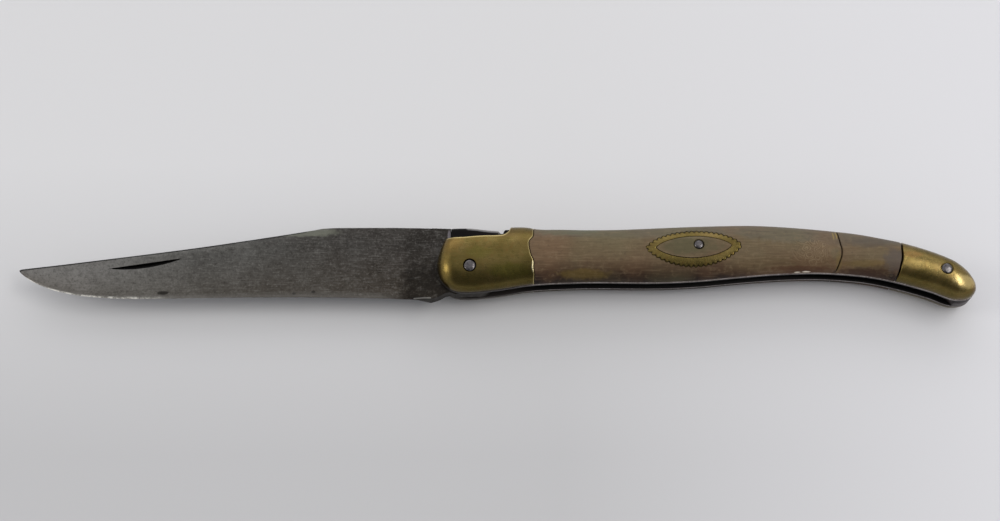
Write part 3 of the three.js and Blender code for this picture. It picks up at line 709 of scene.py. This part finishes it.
# One domed piece of the handle between two seams. A seam of None is the handle's own end.
def shellPiece(name, leftSeam, rightSeam, leftGap, rightGap, dents, cut=False):
    full, radius, reach = handle["fullness"], seams["edgeRound"], seams["reach"]
    knee, steps = handle["knee"], handle["archSteps"]
    start = noseX if leftSeam is None else seamX(leftSeam, 4)
    end = buttX if rightSeam is None else seamX(rightSeam, 2)
    fine = [(start, start + 0.5, 0.05), (end - 0.5, end, 0.05)]
    if leftSeam is None:
        fine += [(start, start + 0.3, 0.03), (start, start + 1.5, 0.1), (start, start + 5, 0.2)]
    if rightSeam is None:
        fine += [(end - 0.3, end, 0.03), (end - 1.5, end, 0.1), (end - 6, end, 0.2)]
    if cut:
        fine += [(cutOut["stepStart"], cutOut["end"] + 0.4, 0.06)]
    shares = sorted({i / steps for i in range(steps + 1)} | {0.004, 0.01, 0.99, 0.994, 0.997})
    points = []
    stations = stationsBetween(start, end, handle["station"], fine)
    for s in stations:
        low, high = shellSpan(s)
        top = math.pi
        if cut and cutAt(s) < high - 0.02:
            t = (2 * cutAt(s) - low - high) / (high - low)
            top = math.acos(-math.copysign(abs(t) ** (1 / full), t))
        arc = []
        for share in shares:
            angle = math.pi * share
            if share > knee:
                angle = math.pi * knee + (top - math.pi * knee) * (share - knee) / (1 - knee)
            cosine, sine = math.cos(angle), math.sin(angle)
            across = math.copysign(abs(cosine) ** full, cosine)
            x = s
            for _ in range(4):  # enough rounds for x and y to settle on the seams
                low, high = shellSpan(x)
                y = (low + high) / 2 - across * (high - low) / 2
                x, edge = s, radius
                if leftSeam is not None:
                    line = seamX(leftSeam, y) + leftGap / 2
                    x += max(0, 1 - (s - start) / reach) * (line - start)
                    edge = min(edge, x - line)
                if rightSeam is not None:
                    line = seamX(rightSeam, y) - rightGap / 2
                    x += max(0, 1 - (end - s) / reach) * (line - end)
                    edge = min(edge, line - x)
            if cut and x < cutOut["end"] + 1:
                edge = min(edge, distanceTo(cutRim, x, y))
            lift = (crown - linerTop) * endRise(x) * max(0, sine) ** full
            drop = min(lift * 0.5, rounding(max(0, edge), radius))
            rough = waver(x, y, 0, 5, start) + 0.4 * waver(x, y, 3, 1.8, start)
            drop += dents * min(1, max(0, 0.6 + rough)) * min(1, lift)
            arc.append((x, y, linerTop + lift - drop))
        points += arc + [(x, y, linerTop) for x, y, z in reversed(arc)]
    count = len(shares)
    faces = loftFaces(len(stations), 2 * count)
    for first in (0, (len(stations) - 1) * 2 * count):
        last = first + 2 * count - 1
        faces += [(first + j, first + j + 1, last - j - 1, last - j) for j in range(count - 1)]
    return makePiece(name, points, faces)


# solid turned from a profile of radius and height
def turnedPiece(name, profile, x, y, sides=48, uneven=0.0):
    points = []
    for radius, z in profile:
        for i in range(sides):
            angle = 2 * math.pi * i / sides
            r = radius * (1 + uneven * waver(math.cos(angle), math.sin(angle), z, 0.8, x))
            points.append((x + r * math.cos(angle), y + r * math.sin(angle), z))
    return makePiece(name, points, loftFaces(len(profile), sides, capped=True))


pins = {
    "shaft": {"pivot_pin": 1.2, "middle_pin": 0.7, "rear_pin": 0.7},  # radius
    "head": {"pivot_pin": 1.27, "middle_pin": 1.02, "rear_pin": 1.2},
    "recess": 0.22,  # worn gap round each head
    "recessDepth": 0.45,
    "clearance": 0.05,
    "dome": 0.3,
    "sunk": 0.03,  # below the brass or horn
    "uneven": 0.04,
}


# hole of a pin, wider round its two heads
def pinCutter(node):
    place = middleOf(node)
    shaft = pins["shaft"][node] + pins["clearance"]
    wide = pins["head"][node] + pins["recess"]
    floor, top = pins["recessDepth"], 2 * midPlane
    half = [(wide, -1), (wide, floor), (shaft, floor + 0.3)]
    profile = half + [(r, top - z) for r, z in reversed(half)]
    return turnedPiece("pin_cutter", profile, place[0], place[1])


def pinPiece(node):
    place = middleOf(node)
    head, shaft = pins["head"][node], pins["shaft"][node]
    dome, sunk = pins["dome"], pins["sunk"]
    half = [(0.02, sunk)]
    for i in range(1, 8):
        lean = i / 7 * math.pi / 2
        half.append((head * math.sin(lean) ** 0.9, sunk + dome * (1 - math.cos(lean)) ** 1.3))
    half += [(head, 0.36), (head * 0.98, 0.42), (shaft, 0.75), (shaft, 3)]
    profile = half + [(r, 2 * midPlane - z) for r, z in reversed(half)]
    return turnedPiece(node + "_peened", profile, place[0], place[1],
                       uneven=pins["uneven"])


# lens shaped brass inlay with a scalloped rim
inlay = {
    "length": 21.45,
    "rise": 4.05,
    "drop": 4.7,
    "windowLength": 16.75,  # the horn inside the ring
    "windowRise": 2.5,
    "windowDrop": 2.6,
    "fromMiddlePin": (-1.12, -0.55),
    "turn": 0.033,  # radians
    "point": 1.45,  # 1 has round ends, more has sharper ones
    "scallopPitch": 1.1,
    "scallopDepth": 0.32,
    "floor": 1.6,  # above the liner
    "fit": 0.05,
    "edgeRound": 0.25,
    "dents": 0.02,
}


# a lens shaped line, and the way walked along it
def lensLine(length, rise, drop):
    points, steps = [], 12
    for i in range(2 * steps + 1):
        angle = i * math.pi / steps
        sine = math.sin(angle) if i % steps else 0
        points.append((math.cos(angle) * length / 2,
                       abs(sine) ** inlay["point"] * (rise if sine > 0 else -drop)))
    line = smoothLine(points)
    walked = np.concatenate([[0], np.cumsum(np.linalg.norm(np.diff(line, axis=0), axis=1))])
    return line, walked


# point at a share of the way round a lens, moved out from it
def lensPoint(lens, share, out):
    line, walked = lens
    at = [np.array([np.interp((share * walked[-1] + step) % walked[-1], walked, line[:, i])
                    for i in (0, 1)]) for step in (-0.05, 0, 0.05)]
    way = (at[2] - at[0]) / np.linalg.norm(at[2] - at[0])
    x, y = at[1][0] + way[1] * out, at[1][1] - way[0] * out
    turn, offset = inlay["turn"], inlay["fromMiddlePin"]
    return (middlePin[0] + offset[0] + x * math.cos(turn) - y * math.sin(turn),
            middlePin[1] + offset[1] + x * math.sin(turn) + y * math.cos(turn))


depth = inlay["scallopDepth"]
outerLens = lensLine(inlay["length"] - 2 * depth, inlay["rise"] - depth, inlay["drop"] - depth)
innerLens = lensLine(inlay["windowLength"], inlay["windowRise"], inlay["windowDrop"])
scallops = 2 * round(outerLens[1][-1] / inlay["scallopPitch"] / 2)


def ringRows(samplesEach, grow):
    rows = []
    for i in range(scallops * samplesEach):
        share = i / (scallops * samplesEach)
        bump = depth * abs(math.sin(math.pi * i / samplesEach))
        rows.append((lensPoint(innerLens, share, -grow),
                     lensPoint(outerLens, share, grow + bump)))
    return rows


def ringPiece(name):
    points, floor = [], linerTop + inlay["floor"]
    shares = (0, 0.03, 0.08, 0.2, 0.5, 0.78, 0.86, 0.93, 0.97, 1)  # closer by both rims
    rows = ringRows(8, 0)
    for inner, outer in rows:
        wide = math.dist(inner, outer)
        for share in shares:
            x = inner[0] + (outer[0] - inner[0]) * share
            y = inner[1] + (outer[1] - inner[1]) * share
            drop = rounding(min(share, 1 - share) * wide, inlay["edgeRound"])
            drop += inlay["dents"] * min(1, max(0, 0.6 + waver(x, y, 0, 1.4, 4)))
            points.append((x, y, domeAt(x, y) - drop))
        points += [(*outer, floor), (*inner, floor)]
    return makePiece(name, points, loftFaces(len(rows), len(shares) + 2, closedLoop=True))


def ringCutter():
    points, floor = [], linerTop + inlay["floor"] - inlay["fit"]
    rows = ringRows(6, inlay["fit"])
    for inner, outer in rows:
        points += [(*inner, floor), (*inner, crown + 1), (*outer, crown + 1), (*outer, floor)]
    return makePiece("ring_cutter", points, loftFaces(len(rows), 4, closedLoop=True))


# the handle's outside: each upper piece and its mirror copy below
def makeShells():
    frontGap, gap, capGap = seams["bolsterGap"], seams["gap"], seams["capGap"]
    onBrass, onHorn = handle["brassDents"], handle["hornDents"]
    bolster = shellPiece("upper_bolster_cast", None, bolsterSeam, 0, frontGap, onBrass, True)
    combine(bolster, [pinCutter("pivot_pin")])
    scale = shellPiece("upper_scale_filed", bolsterSeam, hornSeam, frontGap, gap, onHorn)
    combine(scale, [pinCutter("middle_pin"), ringCutter()])
    rearScale = shellPiece("upper_rear_scale_filed", hornSeam, capSeam, gap, capGap, onHorn)
    cap = shellPiece("upper_end_cap_cast", capSeam, None, capGap, 0, onBrass)
    combine(cap, [pinCutter("rear_pin")])
    ring = ringPiece("upper_inlay_ring_sawn")
    bolsterLines = [seamPoints(bolsterSeam), cutRim]
    scaleLines = [seamPoints(bolsterSeam), seamPoints(hornSeam)]
    rearLines = [seamPoints(hornSeam), seamPoints(capSeam)]
    # the notches between the ring's beads, darkened by grime and painted shade
    notches = [lensPoint(outerLens, i / scallops, 0.05) for i in range(scallops)]
    made = [
        (bolster, "bolster", "brass", brass, bolsterLines, 0.7, (), 0),
        (scale, "scale", "horn", horn, [*scaleLines, notches], 0.4, (), 0),
        (rearScale, "rear_scale", "horn", horn, rearLines, 0.5, (), 0),
        (cap, "end_cap", "brass", brass, [seamPoints(capSeam)], 0.3, (), 0),
        (ring, "inlay_ring", "brass", brass, [], 0.5, notches, 0.12),
    ]
    for piece, node, slot, material, lines, reach, markSpots, dirtBase in made:
        markPiece(piece, shellSpan, lines, reach, markSpots, 0.45, dirtBase)
        below = mirrorPiece(piece, piece.name.replace("upper", "lower"))
        dress(piece, "handle", material, [f"upper_{node}"])
        dress(below, "handle", material, [f"lower_{node}"])


makeShells()
print("bolsters, horn, caps and inlay rings made")


# plate with softened edges from an outline
def platePiece(name, outline, bottom, top, radius=0.1):
    line = np.array(outline)
    ahead = np.roll(line, -1, axis=0) - line
    ahead /= np.linalg.norm(ahead, axis=1)[:, None]
    way = ahead + np.roll(ahead, 1, axis=0)
    way /= np.maximum(np.linalg.norm(way, axis=1), 0.3)[:, None]
    turning = line[:, 0] * np.roll(line[:, 1], -1) - np.roll(line[:, 0], -1) * line[:, 1]
    inward = np.stack([-way[:, 1], way[:, 0]], axis=1) * math.copysign(1, turning.sum())
    half = [(1, 0), (0.3, 0.3), (0, 1)]
    levels = [(a, bottom + b * radius) for a, b in half]
    levels += [(a, top - b * radius) for a, b in reversed(half)]
    points = [(x, y, z) for share, z in levels for x, y in line + inward * share * radius]
    return makePiece(name, points, loftFaces(len(levels), len(line), capped=True))


# points on a line from start to end, closer together at the ends of the handle
def alongLine(line, start, end, step=0.4):
    ends = np.array([0.0003, 0.001, 0.002, 0.004, 0.007]) * (buttX - noseX)
    places = [np.arange(start, end, step), [end]]
    if start == noseX:
        places.append(start + ends)
    if end == buttX:
        places.append(end - ends)
    return [(float(x), float(np.interp(x, line[:, 0], line[:, 1])))
            for x in np.unique(np.concatenate(places))]


def makeLiners():
    step = [tuple(p) for p in cutRim[::4]
            if cutOut["stepStart"] < p[0] and p[1] < cutOut["stepTop"]]
    over = [(x, min(y, cutAt(x))) for x, y in alongLine(back, noseX, step[0][0] - 0.1)]
    over += step + alongLine(back, step[-1][0] + 0.15, buttX)
    outline = alongLine(belly, noseX, buttX) + over[::-1][1:-1]
    liner = platePiece("upper_liner_filed", outline, slotTop, linerTop, 0.08)
    combine(liner, [pinCutter(node) for node in pins["shaft"]])
    below = mirrorPiece(liner, "lower_liner_filed")
    dress(liner, "handle", linerSteel, ["upper_liner"])
    dress(below, "handle", linerSteel, ["lower_liner"])


makeLiners()
for node in pins["shaft"]:
    dress(pinPiece(node), "handle", pinSteel, [node], 50)
# the rivets lie hidden between the brass and the liners
for side in ("upper", "lower"):
    for rivet in ("bolster_rivet", "cap_rivet"):
        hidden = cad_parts[f"{side}_{rivet}"]
        hidden.data.materials.clear()
        hidden.data.materials.append(brass)
print("liners and pins made")


# clip pointed blade, ground flat from the back to the edge
blade = {
    "spineHeight": 10.8,
    "spineFall": 0.33,
    "spineFallLength": 16,
    "tipHeight": 0.62,
    "tipRise": 0.33,
    "tipRound": 0.9,
    "edgeDepth": 5.85,
    "clipLength": 67.6,
    "clipCurve": 0.22,
    "clipStart": -37,
    "bellyLength": 29.3,
    "bellyFullness": 2.83,  # 1 is a straight run to the tip
    "heel": 8.6,
    "heelDrop": 0.5,
    "unground": -12.5,  # behind this the edge is blunt
    "edgeWear": 0.35,  # lost in the middle by sharpening
    "thickness": 2.8,
    "tipThickness": 0.9,
    "falseEdgeHeight": 1.3,
    "falseEdgeFlat": 1.1,
    "bevel": 1.1,
    "heelBevel": 0.4,
    "edgeShoulder": 0.55,
    "plunge": 6,  # length over which the grind runs out
    "nickFromTip": 27.45,
    "nickHeight": 2.23,
    "nickDepth": 0.6,
    "nickWheel": 62,
    "nickSlope": 0.48,
    "nickTilt": 0.147,
    "tangHeight": 5,
    "tangLength": 5.7,
    "tangCorner": 3.5,
    "shoulder": 4.35,
    "closingShortfall": 2.05,  # degrees that the closed blade lacks of a half turn
    "choilEnd": 3.4,
    "choil": [(0.13, 0.12), (0.27, 0.35), (0.42, 0.68), (0.56, 1.05), (0.67, 1.25), (0.81, 1.3),
              (0.92, 1.2)],  # shares of the way from the heel to its end
    # colour, x, y, reach and share of rust pits and bare places
    "marks": [
        ("#171310", -35, -4.3, 0.55, 0.4, 0.85), ("#171310", -39.3, -4.7, 0.5, 0.35, 0.85),
        ("#1c1916", -68.5, -4.5, 1.5, 0.5, 0.8), ("#7f8174", -36.5, 9.7, 9, 1.3, 0.55),
        ("#8f8a8f", -4.75, 9, 0.5, 1.6, 0.6)],
}
bladeLength = 0.05 - bladeTip


def smoothStep(value, low, high):
    t = min(1, max(0, (value - low) / (high - low)))
    return t * t * (3 - 2 * t)


def spineAt(x):
    fromTip = x + bladeLength
    share = min(1, fromTip / blade["clipLength"])
    slope = share * (1 - blade["clipCurve"]) + share**2 * blade["clipCurve"]
    start = blade["tipHeight"] + blade["tipRise"]
    tip = 1 - min(1, fromTip / blade["tipRound"])
    fall = max(0, 1 + (x + blade["shoulder"]) / blade["spineFallLength"])
    return (start + (blade["spineHeight"] - start) * slope
            - blade["tipRise"] * (1 - math.sqrt(1 - tip**2)) - blade["spineFall"] * fall**2)


def edgeAt(x):
    fromTip, wide = x + bladeLength, blade["bellyLength"]
    if fromTip < wide:
        share = (fromTip / wide) ** 0.85
        rise = blade["tipHeight"] + blade["edgeDepth"]
        return blade["tipHeight"] - rise * (1 - (1 - share) ** blade["bellyFullness"])
    share = (fromTip - wide) / (bladeLength - wide - blade["heel"])
    return (blade["edgeWear"] * math.sin(math.pi * share) - blade["heelDrop"] * share**9
            - blade["edgeDepth"])


def bladeSpan(x):
    return edgeAt(min(x, -blade["heel"])), spineAt(x)


# half a section of the blade, from the back down to the edge
def bladeSection(x):
    edge, top = bladeSpan(x)
    fromTip = x + bladeLength
    taper = min(1, fromTip / (bladeLength - 2 * blade["heel"])) ** 0.7
    half = (blade["tipThickness"] + (blade["thickness"] - blade["tipThickness"]) * taper) / 2
    plunge = smoothStep(x, -blade["heel"] - blade["plunge"], -blade["heel"])
    thin = min(blade["edgeShoulder"] / 2, half * 0.7)
    shoulder = thin + (half - thin) * plunge
    nearHeel = smoothStep(x, -blade["heel"] - 2 * blade["plunge"], -blade["heel"])
    bevel = blade["bevel"] + (blade["heelBevel"] - blade["bevel"]) * nearHeel
    bevel = min(bevel, (top - edge) * 0.3)
    clip = blade["clipLength"]
    onClip = (smoothStep(fromTip, clip * 0.25, clip * 0.6)
              - smoothStep(fromTip, clip * 0.97, clip * 1.06))
    spineHalf = half * 0.9 + (min(half, blade["falseEdgeFlat"] / 2) - half * 0.9) * onClip
    small = (top - edge) * 0.02
    drop = small + (blade["falseEdgeHeight"] - small) * onClip
    blunt = 0.03 + (half - 0.15) * smoothStep(x, -blade["heel"] - 4, -blade["heel"])
    corners = [(top, spineHalf), (top - drop, half), (edge + bevel, shoulder), (edge, blunt)]
    section = [(top, 0), (top, spineHalf * 0.5), (top, spineHalf - 0.06)]
    parts = ([0.08, 0.3, 0.7, 0.95], [0.012, 0.04, *np.linspace(0.1, 0.9, 14), 0.96, 0.988],
             [0.08, 0.3, 0.7, 0.93])
    for (y0, z0), (y1, z1), shares in zip(corners, corners[1:], parts):
        section += [(y0 + (y1 - y0) * t, z0 + (z1 - z0) * t) for t in shares]
    return [*section, (edge, blunt * 0.4)]


# ground by hand, so its faces are faintly hollow and its edge has worn uneven
def bladePiece():
    start, end = -bladeLength + 0.05, -blade["heel"]
    places = stationsBetween(start, end, 0.6, [
        (start, start + 2, 0.15), (start, start + 8, 0.3), (end - 6, end, 0.3)])
    points = []
    for x in places:
        section = bladeSection(x)
        fade = smoothStep(x, end, end - 3)
        edge = section[-1][0]
        ring = []
        for y, z in section:
            nearEdge = max(0, 1 - (y - edge) / 1.5)
            paintedHighlight = 0.06 * waver(x, 0, 0, 2.5, 5) + 0.03 * waver(x, 0, 0, 0.8, 6)
            y += fade * nearEdge * max(0, paintedHighlight + 0.02)
            hollow = 0.03 * max(0, 0.4 + waver(x, y, 0, 9, 8)) * fade
            ring.append((x, y, max(0.01, z - hollow)))
        points += [(x, y, midPlane + z) for x, y, z in ring]
        points += [(x, y, midPlane - z) for x, y, z in reversed(ring[1:])]
    count = 2 * len(section) - 1
    return makePiece("blade_forged", points, loftFaces(len(places), count, capped=True))


def arcPoints(x, y, radius, start, end, steps=14):
    angles = [start + (end - start) * i / steps for i in range(steps + 1)]
    return [(x + radius * math.cos(angle), y + radius * math.sin(angle)) for angle in angles]


# flat tang with round corners, over which the spring rides
def tangPiece():
    tilt = math.radians(blade["closingShortfall"])
    high, corner, heel = blade["tangHeight"], blade["tangCorner"], blade["heel"]
    cornerX = blade["tangLength"] - corner
    lowY = (cornerX * math.sin(tilt) - high + corner) / math.cos(tilt)
    endX = -blade["choilEnd"]
    endY = (endX * math.sin(tilt) - high) / math.cos(tilt)
    heelY = edgeAt(-heel) + 0.1
    between = [(-heel + (endX + heel) * along, heelY + (endY - heelY) * up)
               for along, up in blade["choil"]]
    choil = smoothLine([(-heel, heelY), *between, (endX, endY)], 5)
    top = [(x, spineAt(x)) for x in np.linspace(-heel, -blade["shoulder"], 6)]
    outline = [*top, (-blade["shoulder"], high),
               *arcPoints(cornerX, high - corner, corner, math.pi / 2, 0),
               *arcPoints(cornerX, lowY, corner, 0, tilt - math.pi / 2), *choil[::-1]]
    half = blade["thickness"] / 2
    return platePiece("tang", outline, midPlane - half, midPlane + half, 0.06)


# the thumb nail nick is the cut of a bevelled grinding wheel
def nickCutter():
    x, wheel = blade["nickFromTip"] - bladeLength, blade["nickWheel"]
    section = [p for p in bladeSection(x) if p[0] < spineAt(x) - blade["falseEdgeHeight"]]
    face = np.interp(blade["nickHeight"], *zip(*section[::-1]))
    centreZ = midPlane + face - blade["nickDepth"] + wheel
    lean, slope, points = blade["nickTilt"], blade["nickSlope"], []
    steps, wide, thick = 60, 3, 8
    for i in range(-steps, steps + 1):
        angle = i * 0.004
        for y, radius in ((0, wheel), (-wide, wheel - wide * slope),
                          (-wide, wheel - thick), (0, wheel - thick)):
            along = radius * math.sin(angle)
            points.append((x + along * math.cos(lean) - y * math.sin(lean),
                           blade["nickHeight"] + along * math.sin(lean) + y * math.cos(lean),
                           centreZ - radius * math.cos(angle)))
    return makePiece("nick_cutter", points, loftFaces(2 * steps + 1, 4, capped=True))


# the nick's floor is painted nearly black: painted shade in the groove, with old dirt
def markNick(piece):
    middle, values = blade["nickFromTip"] - bladeLength, []
    for face in piece.data.polygons:
        x, y, z = face.center / mm
        sunk = 0
        if abs(x - middle) < 10 and abs(y - blade["nickHeight"]) < 3 and z > midPlane:
            section = bladeSection(x)[::-1]
            surface = np.interp(y, [p[0] for p in section], [p[1] for p in section])
            sunk = surface - (z - midPlane)
        values.append(float(sunk > 0.06))
    piece.data.attributes.new("nickShadeAndDirt", "FLOAT", "FACE").data.foreach_set("value", values)


def makeBlade():
    piece = bladePiece()
    combine(piece, [tangPiece()], "UNION")
    radius = pins["shaft"]["pivot_pin"] + pins["clearance"]
    hole = turnedPiece("hole", [(radius, -1), (radius, 2 * midPlane + 1)], 0, 0)
    combine(piece, [nickCutter(), hole])
    clip = [(x, spineAt(x)) for x in np.arange(-bladeLength, blade["clipStart"], 0.3)]
    # points for a painted highlight line along the heel's bevel
    heel = [(x, edgeAt(x) + 0.25) for x in np.arange(blade["unground"], -blade["heel"], 0.1)]
    markPiece(piece, bladeSpan, [clip], 0.6, heel, 0.35)
    markNick(piece)
    dress(piece, "blade", greyedCarbonSteel(), ["blade"], 18)


makeBlade()
print("blade made")


# back spring, whose wider front end shows over the tang
spring = {
    "room": 0.15,  # over the edge of the closed blade
    "gap": 0.05,  # to the tang
    "padEnd": 5.2,  # the pad presses on the tang
    "padRun": 1.2,
    "height": 10.25,
    "rearHeight": 9.82,
    "flyEnd": 6.4,
    "width": 6,
    "neck": 4.2,
    "bend": 1.1,  # radius of the fly's rounded edges
    "floor": 7.42,
    "step": [(8.6, 10.25), (7.85, 10.2), (7.6, 9.9), (7.4, 9.3), (6.9, 9.3)],
    "notchEnd": 9.7,
    "pocketRise": 1,
    "tailFromRearPin": -2.77,
    "tailDrop": 1.6,
    "tailReach": 5,
    "sideGap": 0.05,
    "rubStart": -0.2,  # the fly is rubbed behind this
}


springFront = 2 * spring["gap"] - blade["shoulder"]


def flyTop(x):
    share = (x - springFront) / (spring["flyEnd"] - springFront)
    fall = spring["height"] - spring["rearHeight"]
    return spring["height"] - fall * smoothStep(share, 0.3, 0.9)


# the plate under the fly, hollow where the closed blade's edge comes to lie
def springPlate():
    turn = math.radians(180 - blade["closingShortfall"])
    cosine, sine = math.cos(turn), math.sin(turn)
    closed = [(x * cosine - edgeAt(x) * sine, x * sine + edgeAt(x) * cosine)
              for x in np.arange(-blade["heel"], -bladeLength, -0.5)]
    closed = np.array(closed)
    tailX, roof = rearPin[0] + spring["tailFromRearPin"], rearPin[1] + spring["pocketRise"]
    tailBelly, front = tailX + spring["tailReach"], springFront
    start = blade["heel"] + 1
    under = [(x, max(roof, float(np.interp(x, closed[:, 0], closed[:, 1])) + spring["room"]))
             for x in np.arange(start, tailX, 0.8)]
    padY = blade["tangHeight"] + spring["gap"]
    outline = [(front, padY), (spring["padEnd"], padY),
               (spring["padEnd"] + spring["padRun"], under[0][1] + 0.2), *under, (tailX, roof),
               (tailX, rearPin[1] - spring["tailDrop"]), *alongLine(belly, tailBelly, buttX),
               *alongLine(back, spring["notchEnd"], buttX)[::-1][1:],
               *spring["step"], (spring["flyEnd"], spring["rearHeight"]),
               (spring["flyEnd"] * 0.3, spring["height"] - 0.25),
               (front + 3, spring["height"]), (front, spring["height"])]
    half = slotTop - midPlane - spring["sideGap"]
    return platePiece("backspring_forged", outline, midPlane - half, midPlane + half, 0.12)


# front end of the spring, rounded over its top and wider in the middle
def flyPiece():
    front, end, floor = springFront, spring["flyEnd"], spring["floor"]
    points, steps = [], 40
    for i in range(steps + 1):
        share = i / steps
        x = front + (end - front) * share
        top = flyTop(x)
        belled = math.sin(math.pi * (0.28 + 0.6 * share))
        half = (spring["neck"] + (spring["width"] - spring["neck"]) * belled) / 2
        bend = min(spring["bend"], half * 0.5)
        squeeze = 1 - 0.06 * max(0, 1 - min(i, steps - i) / 2)
        side = [(floor, half), (floor + 0.8, half)]
        for j in range(9):
            lean = j / 8 * math.pi / 2
            side.append((top - bend * 0.8 * (1 - math.sin(lean)),
                         half - bend * (1 - math.cos(lean))))
        points += [(x, y, midPlane + z * squeeze) for y, z in side]
        points += [(x, y, midPlane - z * squeeze) for y, z in reversed(side)]
    return makePiece("fly", points, loftFaces(steps + 1, 2 * len(side), capped=True))


def makeSpring():
    piece = springPlate()
    combine(piece, [flyPiece()], "UNION")
    combine(piece, [pinCutter(node) for node in ("middle_pin", "rear_pin")])
    top = [(x, flyTop(x)) for x in np.arange(spring["rubStart"], spring["flyEnd"], 0.2)]
    spine = [(x, backAt(x)) for x in np.arange(cutOut["end"] + 0.5, buttX, 0.3)]
    markPiece(piece, lambda x: (bellyAt(x), backAt(x)), [top], 1.1, spine, 0.8)
    dress(piece, "handle", springSteel, ["backspring"], 30)


makeSpring()
print("spring made")


# sizes in metres
table = {"size": 1.6, "upper": "#d7d7d9", "lower": "#bfbfc1", "right": "#dcdce0"}
# degrees from straight above, mm, and the focal length as a share of the picture's width
camera = {"tilt": 21, "distance": 350, "focal": 1.554, "sensor": 36, "aim": (6.71, 3.35)}
# place and size in metres, watts and colour
lamps = [
    ("ceiling_lamp", (0.45, 0.02, 0.77), (0.68, 0.18), 2.4, "#fffdf8"),
    ("window_left", (-0.75, 0.0, 0.5), (0.25, 0.3), 1.24, "#fffdf6"),
    ("window_behind", (0.0, 0.75, 0.55), (1.2, 0.4), 1.15, "#fdfdff"),
]
# white walls, and one dark side that the metal mirrors
room = {"walls": "#f2f2f4", "shade": "#7c7c80", "towards": (0, -0.62, 0.78), "strength": 0.89}


# Matt painted board, a little darker in front and lighter on the right, as the light falls.
def makeTable():
    top = newMaterial("pale_table")
    place = addNode(top, "TexCoord", out="Object")
    along = addNode(top, "SeparateXYZ", {0: place})
    down = addNode(top, "SeparateXYZ", {0: place}, out=1)
    share = addNode(top, "MapRange", {"Value": down, "From Min": -0.04, "From Max": 0.03})
    colour = addNode(top, "Mix", {0: share, 6: table["lower"], 7: table["upper"]}, **rgba)
    share = addNode(top, "MapRange", {"Value": along, "From Min": 0.02, "From Max": 0.14})
    colour = addNode(top, "Mix", {0: share, 6: colour, 7: table["right"]}, **rgba)
    finishSurface(top, [], Base_Color=colour, Roughness=0.75)
    half = table["size"] / 2 / mm
    corners = [(x * half, y * half, -0.02) for x, y in ((-1, -1), (1, -1), (1, 1), (-1, 1))]
    floor = makePiece("table_top", corners, [(0, 1, 2, 3)])
    floor.data.materials.append(top)


# lamp turned to the knife
def addLamp(name, place, size, power, colour):
    lamp = bpy.data.lights.new(name, "AREA")
    lamp.shape, lamp.size, lamp.size_y = "RECTANGLE", *size
    lamp.energy, lamp.color = power, tint(colour)[:3]
    holder = bpy.data.objects.new(name, lamp)
    holder.location = place
    holder.rotation_euler = (-Vector(place)).to_track_quat("-Z", "Y").to_euler()
    scene.collection.objects.link(holder)


def makeRoom():
    world = bpy.data.worlds.new("room")
    world.use_nodes = True
    world.node_tree.nodes.clear()
    way = addNode(world, "TexCoord", out="Generated")
    facing = addNode(world, "VectorMath", {0: way, 1: room["towards"]}, operation="DOT_PRODUCT",
                     out="Value")
    share = addNode(world, "MapRange", {"Value": facing, "From Min": 0.66, "From Max": 0.93})
    colour = addNode(world, "Mix", {0: share, 6: room["walls"], 7: room["shade"]}, **rgba)
    sky = addNode(world, "Background", {"Color": colour, "Strength": room["strength"]})
    addNode(world, "OutputWorld", {"Surface": sky})
    scene.world = world


def makeCamera():
    view = bpy.data.cameras.new("camera")
    view.sensor_width = camera["sensor"]
    view.lens = camera["sensor"] * camera["focal"]
    view.clip_start, view.clip_end = 0.01, 10
    eye = bpy.data.objects.new("camera", view)
    lean, away = math.radians(camera["tilt"]), camera["distance"]
    aimX, aimY = camera["aim"]
    eye.location = Vector((aimX, aimY - away * math.sin(lean),
                           midPlane + away * math.cos(lean))) * mm
    eye.rotation_euler = (lean, 0, 0)
    scene.collection.objects.link(eye)
    scene.camera = eye


makeTable()
for lamp in lamps:
    addLamp(*lamp)
makeRoom()
makeCamera()
print("table, lamps and camera made")
